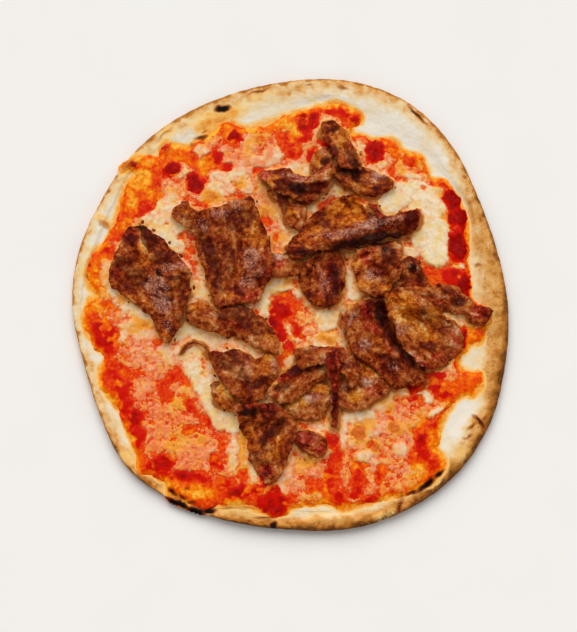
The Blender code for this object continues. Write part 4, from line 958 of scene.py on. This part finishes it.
GILDED = {
    "leaf": (
        (-103, 33, 2.6, 8, -12, 0.8), (-100, 27, 3, 8, 0, 0.6), (-100, -2, 14, 2.2, -28, 0.7),
        (-83, -25, 5, 2, 0, 0.8),
    ),
    "broad": (
        (-27, 42, 5, 14, -8, 0.5), (-19, 42, 3, 14, -15, 0.5), (-58, 12, 3, 14, 12, 0.5),
        (-42, 3, 8, 4, 0, 0.3),
    ),
    "strip": ((-65, -5, 6, 5, 0, 0.6), (-62, -14, 9, 2, -20, 0.5), (-12, -24, 6, 7, 0, 0.5)),
    "lower": ((-18, -44, 6, 9, 0, 0.75), (-12, -40, 4, 8, -10, 0.6), (-57, -42, 3, 8, 20, 0.5)),
    "hem": ((-43, -64, 9, 5, -25, 0.8), (-47, -74, 4, 5, 0, 0.9)),
    "foot": ((-27, -97, 4, 14, 8, 0.55), (-7, -103, 4, 12, 0, 0.6), (-16, -108, 6, 8, 0, 0.3)),
    "scrap": ((-74, 64, 6, 5, 0, 0.7),),
    "tongue": ((1, 62, 5, 8, 0, 0.5), (-10, 84, 5, 5, 0, 0.5)),
    "shelf": ((-13, 84, 5, 5, 0, 0.5), (12, 90, 6, 2, 0, 0.5)),
    "tuck": ((19, 99, 4, 7, 10, 0.7),),
    "crown": ((34, 112, 5, 7, 0, 0.6), (38, 120, 3, 6, 30, 0.5)),
    "lobe": ((54, 89, 6, 7, 0, 0.5), (52, 79.5, 9, 1.6, -8, 0.8), (64, 83, 6, 2, 30, 0.6)),
    "ridge": (
        (42, 62, 18, 9, 12, 0.95), (47, 72, 6, 5, 10, 0.9), (14, 44, 10, 6, 35, 0.6),
        (10, 38, 9, 3, 0, 0.6),
    ),
    "link": ((-9, 22, 7, 2, 0, 0.4),),
    "button": ((12, 18, 6, 9, 0, 0.25), (22, -3, 6, 2, 0, 0.5)),
    "hinge": (
        (44, 26, 5, 4, 0, 0.8), (52, 26, 8, 4, 0, 0.5), (50, 10, 8, 3, 0, 0.6), (66, 8, 6, 4, -40, 0.7),
    ),
    "knuckle": ((75, 25, 4, 4, 0, 0.7),),
    "arm": ((86, 3, 7, 5, 0, 0.6), (123, -5, 3, 2, 0, 0.6), (92, -2, 8, 3, 0, 0.4)),
    "fold": ((60, -32, 10, 7, -30, 0.45), (50, -28, 5, 6, 0, 0.3)),
    "shoulder": (
        (78, -7, 9, 10, -30, 0.8), (82, -13, 6, 5, 0, 1.0), (96, -27, 5, 4, 0, 0.9), (72, -2, 6, 5, 0, 0.6),
        (100, -12, 6, 5, 0, 0.5), (90, -22, 10, 6, 0, 0.5),
    ),
    "pale": ((41, -4, 4, 4, 0, 0.8),),
    "under": ((52, -50, 10, 6, 0, 0.75), (44, -68, 8, 4, 0, 0.7)),
    "band": ((16, -38, 6, 2, 0, 0.4), (-12, -58, 3, 4, 0, 0.7)),
    "bridge": ((20, -37, 12, 2, 0, 0.5),),
    "fringe": ((4, -69, 9, 7, 0, 0.8), (20, -62, 6, 4, 0, 0.9)),
}
# The pale marks are partly pale fat and partly painted highlights, where light catches crests and folds such
# as the ridge's crest
PALE = {
    "leaf": (
        (-92, 8, 9, 8, -30, 0.7), (-88, -2, 9, 7, -40, 0.75), (-81, 22, 8, 3, 12, 0.7),
        (-84, -18, 3, 5, 0, 0.8),
    ),
    "broad": (
        (-48, 60, 7, 4, 10, 0.7), (-60, 52, 4.5, 4, 0, 0.75), (-27, 28, 6, 9, 0, 0.75),
        (-29, 12, 6, 6, 0, 0.7), (-22, 18, 4, 4, 0, 0.6), (-38, 66, 8, 5, 20, 0.4),
    ),
    "strip": ((-53, -12.5, 3, 1.4, 0, 0.8),),
    "lower": ((-9, -42, 2.6, 9, -20, 0.8), (-28, -48, 3, 7, 0, 0.45)),
    "hem": ((-40, -63, 3, 2, 0, 0.5),),
    "foot": ((-34, -73, 3, 3, 0, 0.5), (-22, -108, 4, 4, 0, 0.3)),
    "scrap": ((-76, 67, 3, 2, 0, 0.6),),
    "tongue": ((4, 64, 3, 3, 0, 0.5),),
    "shelf": ((2, 87, 8, 3, -12, 0.7), (8, 84, 8, 3, 10, 0.6)),
    "tuck": ((22, 104, 2.5, 4, 0, 0.6),),
    "crown": ((32, 112, 3, 4, 0, 0.35),),
    "lobe": ((62, 87, 5, 3.5, 0, 0.8), (56, 84, 8, 4, 0, 0.35)),
    "ridge": (
        (22, 44, 12, 3, 12, 0.6), (40, 46, 16, 3, 14, 0.85), (58, 53, 14, 5, 18, 0.9),
        (76, 55, 6, 4, 10, 0.5),
    ),
    "link": ((-9, 29, 5, 3, 0, 0.7),),
    "button": ((22, 14, 4, 10, 10, 0.6), (16, 22, 5, 4, 0, 0.3)),
    "hinge": ((56, 16, 6, 5, 0, 0.7), (66, 33, 1.6, 2, 0, 0.9), (62, 13, 6, 2, -30, 0.6)),
    "knuckle": ((82, 23, 2.4, 1.6, 0, 0.9), (87, 20, 2, 3, 0, 0.6), (77, 26, 4, 3, 0, 0.5)),
    "arm": ((104, 1, 3, 2, 0, 0.5), (90, 3, 5, 3, 0, 0.4), (118, -3, 3, 2, 0, 0.4)),
    "fold": ((51, -33, 5, 4, 0, 0.8), (71, -48, 3.5, 4, 0, 0.7), (60, -30, 5, 3, 0, 0.3)),
    "shoulder": (
        (74, -24, 4, 4.5, 0, 0.55), (82, -20, 5, 4, 0, 0.3), (114, -22, 3, 4, 0, 0.5),
        (72, -8, 4, 6, 0, 0.3), (82, -40, 4, 3, 0, 0.5),
    ),
    "pale": ((43, -15, 3, 7, 0, 0.9),),
    "under": ((52, -58, 6, 4, 0, 0.7), (36, -63, 3, 5, 0, 0.6)),
    "band": ((18, -38, 4, 3, 0, 0.4),),
    "bridge": ((40, -45, 1.6, 4, 0, 0.8), (24, -46, 2.4, 5, 0, 0.6), (16, -35, 3, 2, 0, 0.5)),
    "fringe": ((15, -69, 5, 4.5, 0, 0.9), (6, -76, 5, 2, 0, 0.5)),
    "purple": ((13, -97, 9, 5, -15, 0.3),),
    "splinter": ((27, -74, 1.6, 7, 0, 0.6),),
}
REDDENED = {
    "leaf": ((-74, 24, 4, 3, 0, 0.6), (-119, 18, 4, 6, 0, 0.5), (-110, 44, 6, 5, 0, 0.5)),
    "broad": ((-17, 22, 3, 12, -5, 0.6), (-26, 2, 9, 3, 20, 0.8), (-34, 4, 6, 3, 0, 0.5)),
    "strip": ((-46, -6, 6, 3, 0, 0.4), (-36, -19, 8, 2, -20, 0.6)),
    "lower": ((-50, -37, 6, 2.5, -20, 0.8), (-6, -50, 3, 6, 0, 0.5)),
    "foot": ((-17, -118, 5, 4, 0, 0.9), (-22, -76, 14, 3, -8, 0.6), (-3, -100, 3, 10, 0, 0.2)),
    "shelf": (
        (-9, 93, 6, 3.5, 0, 0.9), (-18, 88, 5, 5, 0, 0.7), (20, 90, 12, 1.6, 25, 0.8),
        (20, 79, 5, 4, 0, 0.6),
    ),
    "tuck": ((24, 112, 5, 3, 0, 0.9),),
    "crown": ((27, 105, 4, 8, 0, 0.6), (43, 112, 3, 6, 20, 0.4)),
    "lobe": ((34, 97, 4, 4, 0, 0.5),),
    "ridge": (
        (25, 72, 3, 4, 0, 0.8), (84, 58, 5, 8, -25, 0.8), (8, 42, 5, 5, 40, 0.3), (62, 40, 14, 4, 12, 0.3),
    ),
    "link": ((-9, 24, 7, 4, 0, 0.7),),
    "button": ((25, 35, 4, 3, 0, 0.9), (28, 20, 4, 12, 0, 0.6), (20, 2, 6, 3, 0, 0.5)),
    "hinge": ((52, 28, 3, 8, 20, 0.7), (60, 24, 8, 2, -38, 0.5), (58, 34, 8, 3, 0, 0.4)),
    "knuckle": ((86, 12, 6, 3, 0, 0.6),),
    "arm": ((130, -9, 6, 5, -20, 0.9), (96, -2, 12, 4, 0, 0.5)),
    "fold": ((52, -8, 4, 7, 0, 0.9), (56, -20, 5, 8, 10, 0.5), (70, -34, 6, 8, 20, 0.4)),
    "shoulder": ((90, -47, 14, 3, -18, 0.9), (112, -30, 4, 7, 10, 0.5), (100, -40, 6, 3, 40, 0.6)),
    "under": ((44, -42, 6, 3, -20, 0.6), (56, -64, 7, 4, 20, 0.5)),
    "band": ((-2, -52, 9, 4, 25, 0.9), (14, -44, 6, 4, 0, 0.6)),
    "bridge": ((32, -44, 3, 8, 12, 0.8), (28, -36, 10, 3, 0, 0.4)),
    "splinter": ((29, -60, 4, 26, 0, 0.9),),
    "flake": ((59, 64, 6, 9, 30, 1.0),),
    "fringe": ((12, -76, 8, 2, 0, 0.4),),
    "purple": ((10, -97, 9, 5, 0, 0.8), (20, -104, 5, 3, 0, 0.8)),
    "hem": ((-36, -68, 5, 3, 0, 0.3),),
}

# Roasted minced meat: granules in streaks, wet with fat, with painted shade in the pits between them and
# painted light on their tops. Each way of being roasted has its own shades from the pits to the tops, so the
# grain stays in them all; the mauve shades carry the pale fat and a painted sheen.
BROWNED = ("#420700", "#641a04", "#88340c", "#a5521e", "#b87440", "#cc9a6c")
GOLDEN = ("#4c1202", "#7c2a04", "#a64806", "#c66a12", "#d88c30", "#e8b464")
RED_BROWN = ("#2e0202", "#560602", "#821006", "#a22a14", "#b85236", "#cc8468")
MAUVE = ("#421210", "#6c2c20", "#8c4e3c", "#a8705a", "#b48678", "#c8a598")
SHADE_STARTS = (0.02, 0.22, 0.42, 0.62, 0.84)
SHADE_FULL = (0.24, 0.44, 0.64, 0.84, 1.0)


def shaded(tree, value, shades):
    """A colour that runs through six shades as the value goes up."""
    rows = zip(SHADE_STARTS, SHADE_FULL, (1,) * len(SHADE_FULL), shades[1:])
    return layered(tree, linear(shades[0]), coats_by(tree, value, *rows))


kebab, tree, shader, place = new_material("roasted_kebab_meat")
cells = add_node(tree, "TexVoronoi", None, {"Vector": place, "Scale": 1 / (GRANULE_MM * MM)})
granule = add_node(tree, "SeparateColor", None, {"Color": cells.outputs["Color"]}).outputs[0]
tone = worked_out(tree, "MULTIPLY_ADD", granule, 0.26, layer_of(tree, "tone"))
tone = worked_out(tree, "SUBTRACT", unsettled(tree, place, tone, 2.4, 0.7, 5), 0.11)
coats = [
    (share_of(tree, layer_of(tree, "gilded"), 0.05, 0.8, 0.85), shaded(tree, tone, GOLDEN)),
    (share_of(tree, layer_of(tree, "reddened"), 0.1, 0.8, 0.85), shaded(tree, tone, RED_BROWN)),
    # The pale marks take mauve shades: pale fat, and painted highlights on crests and folds
    (share_of(tree, layer_of(tree, "pale"), 0.1, 0.9, 0.75), shaded(tree, tone, MAUVE)),
]
# Near black where seared, and painted shadow under folds and in creases
coats += coats_by(tree, layer_of(tree, "seared"), (0.05, 0.65, 0.8, "#400a02"), (0.6, 1.0, 0.85, "#160302"))
# Painted highlights: small pale glints in the colour, thickest on the pale marks, standing in for light
# caught on wet fat
specks = add_node(tree, "TexVoronoi", None, {"Vector": place, "Scale": 1 / (0.55 * GRANULE_MM * MM)})
speck = add_node(tree, "SeparateColor", None, {"Color": specks.outputs["Color"]}).outputs[1]
shiny = worked_out(tree, "MULTIPLY_ADD", layer_of(tree, "pale"), 0.4, speck)
coats += coats_by(tree, shiny, (0.98, 1.2, 0.5, "#d2aa94"))
colour = layered(tree, shaded(tree, tone, BROWNED), coats)
pits = worked_out(tree, "SUBTRACT", grain(tree, place, 1.2, 2), cells.outputs["Distance"])
finish_surface(tree, shader, colour, 0.3, 0.04, pits, 0.55, 0.5)


def along_slice(points):
    """The points with X along the slice, pressed together that way so that a pattern on them is drawn out."""
    plan = points[:, :2] - points[:, :2].mean(0)
    _, ways = np.linalg.eigh(np.cov(plan.T))
    return np.column_stack([0.28 * plan @ ways[:, 1], plan @ ways[:, 0], 0.5 * points[:, 2]])


for number, node in enumerate(meat_nodes):
    name = node.removeprefix("meat_")
    piece = own_copy(node, "kebab_" + name)
    if name != "curl":
        quarters = piece.modifiers.new("quarters", "SUBSURF")
        quarters.subdivision_type = "SIMPLE"
        quarters.levels = quarters.render_levels = 2
    round_off(piece, 1)
    points = read(piece.data.vertices, "co")
    normals = read(piece.data.vertices, "normal")
    whole = 1.0 if name != "curl" else CURL_CRUMPLED
    plan = points * (1, 1, 0)
    crumple = whole * (ripple(plan, 10, 41 + number, 2) + 0.7 * (0.5 - np.abs(ripple(plan, 6, 80 + number))))
    torn = np.column_stack([ripple(plan, 5.5, 120 + number, 4), ripple(plan, 5.5, 160 + number, 4)])
    streaks = ripple(along_slice(points), STREAK_MM, 200 + number, 3)
    granules = lumps(points, GRANULE_MM)
    relief = 0.15 * (granules - 0.5) + 0.4 * streaks
    frayed = smooth_step(0.35, 0.95, np.hypot(normals[:, 0], normals[:, 1]))
    frayed *= LESS_FRAYED_MM.get(name, FRAYED_MM)
    points += normals * (whole * relief * MM)[:, None]
    points[:, :2] += whole * (1.3 * torn + frayed[:, None] * normals[:, :2]) * MM
    points[:, 2] += crumple * MM
    put_points(piece, points)
    mark_x, mark_y = strayed(points, 1.2)
    pale, gilded, seared, reddened = (
        patchwork(mark_x, mark_y, marks.get(name, ()), soft_mm)
        for marks, soft_mm in ((PALE, 3.0), (GILDED, 3.0), (SEARED, 1.7), (REDDENED, 2.8))
    )
    # Painted shade and light: darker in the gaps between the granules and in the streaks' hollows, lighter on
    # raised folds and on the pale and golden marks
    tone = 0.42 + 0.22 * ripple(points, 12, 240 + number, 2) + 0.2 * ripple(points, 4, 280 + number, 2)
    tone += LIGHTER.get(name, 0) + 0.2 * streaks + 0.12 * (granules - 0.5) + 0.1 * (crumple + pale + gilded)
    store(
        piece,
        tone=tone,
        pale=pale + 0.2 * ripple(points, 5, 300 + number, 2) - 0.05,
        gilded=gilded + 0.25 * ripple(points, 8, 310 + number, 3),
        seared=seared + 0.2 * ripple(points, 4, 320 + number, 2),
        reddened=reddened + 0.22 * ripple(points, 7, 360 + number, 3) + 0.08,
    )
    piece.data.materials.append(kebab)
    piece.data.shade_smooth()
    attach(piece, "root")
    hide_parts(node)

# Crumbs of kebab: what breaks off the slices as they are shaved and scattered, a few millimetres long each.
# They lie on the cheese and the sauce beside the slices, and cover where two slices nearly meet.
CRUMB_COUNT = 60
CRUMB_MM = (0.7, 1.8)  # the least and greatest half length
CRUMBS_WITHIN_MM = 5.0  # of a slice's edge
CRUMB_TRIES = 6000  # places tried, over the part of the pizza with meat on it
CRUMB_FIELD_MM = ((-120, 130), (-120, 125))

chance = np.random.default_rng(7)
tries = [chance.uniform(*span, CRUMB_TRIES) for span in CRUMB_FIELD_MM]
crumb_places = np.column_stack([*tries, np.zeros(CRUMB_TRIES)]) * MM
apart, _ = nearest(meat_plan, crumb_places, SEARCH) / MM
near_enough = apart < CRUMBS_WITHIN_MM * chance.uniform(0.1, 1, len(apart))
crumb_places = crumb_places[(apart > 0.3) & near_enough][:CRUMB_COUNT]
crumb_places[:, 2] = tops(surface_of(cheese), crumb_places, 0)
bpy.ops.object.select_all(action="DESELECT")
bpy.ops.mesh.primitive_ico_sphere_add(subdivisions=2, radius=MM)
crumbs = bpy.context.object
crumbs.name = crumbs.data.name = "kebab_crumbs"
crumb_form = read(crumbs.data.vertices, "co")
copies = []
for x, y, z in crumb_places[crumb_places[:, 2] > 0]:
    long, turn = chance.uniform(*CRUMB_MM), chance.uniform(0, FULL_TURN)
    across, height = long * chance.uniform(0.45, 0.8), long * chance.uniform(0.35, 0.55)
    lumpy = crumb_form * (1 + 0.35 * ripple(crumb_form + (x * 9, y * 9, 0), 1.1, 51, 2))[:, None]
    lumpy *= (long, across, height)
    along, aside = lumpy[:, 0].copy(), lumpy[:, 1].copy()
    lumpy[:, 0] = x + along * math.cos(turn) - aside * math.sin(turn)
    lumpy[:, 1] = y + along * math.sin(turn) + aside * math.cos(turn)
    lumpy[:, 2] += z + 0.15 * MM
    crumb = crumbs.copy()
    crumb.data = crumbs.data.copy()
    bpy.context.scene.collection.objects.link(crumb)
    put_points(crumb, lumpy)
    copies.append(crumb)
bpy.data.objects.remove(crumbs)
pick(copies[0])
for crumb in copies:
    crumb.select_set(True)
bpy.ops.object.join()
crumbs = bpy.context.object
crumbs.name = crumbs.data.name = "kebab_crumbs"
points = read(crumbs.data.vertices, "co")
store(
    crumbs,
    tone=0.45 + 0.3 * ripple(points, 6, 52, 2) + 0.2 * ripple(points, 1.5, 53),
    pale=0.3 * ripple(points, 8, 54),
    gilded=0.5 + 0.5 * ripple(points, 9, 55),
    seared=0.5 * ripple(points, 7, 56) - 0.1,
    reddened=0.6 * ripple(points, 9, 57),
)
crumbs.data.materials.append(kebab)
crumbs.data.shade_smooth()
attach(crumbs, "root")

# Floor, light and camera: a sheet of plain pale card under the pizza, soft daylight from a wide window on the
# far side, and the eye nearly overhead.
FLOOR_SIZE = 6.0
FLOOR_BELOW = 0.2 * MM
WINDOW_PLACE = (-0.1, 0.95, 1.2)
WINDOW_ENERGY = 2.3
WINDOW_WIDTH = math.radians(58)  # as seen from the pizza
ROOM_LIGHT = 0.45
CAMERA_ELEVATION = 79
CAMERA_DISTANCE = 1.6
CAMERA_TARGET = Vector((0, 0, 6 * MM))
CAMERA_LENS_MM = 132.1
PICTURE_HEIGHT_PX = 632
CENTRE_TO_TARGET_PX = (-1.75, -15.5)  # how far the picture's centre is right of and above the target

bpy.ops.object.select_all(action="DESELECT")
bpy.ops.mesh.primitive_plane_add(size=FLOOR_SIZE, location=(0, 0, -FLOOR_BELOW))
floor = bpy.context.object
floor.name = floor.data.name = "table_top"

# Card: matt and nearly white, a little warmer in places
card, tree, shader, place = new_material("matt_white_card")
warmer = coats_by(tree, grain(tree, place, 60, 2), (0.3, 0.7, 1, "#f1eee9"))
tree.links.new(layered(tree, linear("#f0ece7"), warmer), shader.inputs["Base Color"])
shader.inputs["Roughness"].default_value = 0.9
shader.inputs["Specular IOR Level"].default_value = 0.2
floor.data.materials.append(card)

world = bpy.data.worlds.new("soft_daylight")
bpy.context.scene.world = world
world.use_nodes = True
world.node_tree.nodes["Background"].inputs["Color"].default_value = linear("#ffffff")
world.node_tree.nodes["Background"].inputs["Strength"].default_value = ROOM_LIGHT

bpy.ops.object.light_add(type="SUN", location=WINDOW_PLACE)
window = bpy.context.object
window.name = "window_light"
window.data.energy = WINDOW_ENERGY
window.data.angle = WINDOW_WIDTH
window.rotation_euler = (CAMERA_TARGET - window.location).to_track_quat("-Z", "Y").to_euler()

angle = math.radians(CAMERA_ELEVATION)
bpy.ops.object.camera_add(
    location=CAMERA_TARGET + CAMERA_DISTANCE * Vector((0, -math.cos(angle), math.sin(angle))),
    rotation=(math.pi / 2 - angle, 0, 0),
)
camera = bpy.context.object
camera.data.lens = CAMERA_LENS_MM
camera.data.shift_x = CENTRE_TO_TARGET_PX[0] / PICTURE_HEIGHT_PX
camera.data.shift_y = CENTRE_TO_TARGET_PX[1] / PICTURE_HEIGHT_PX
bpy.context.scene.camera = camera
bpy.context.scene.view_settings.view_transform = "Standard"
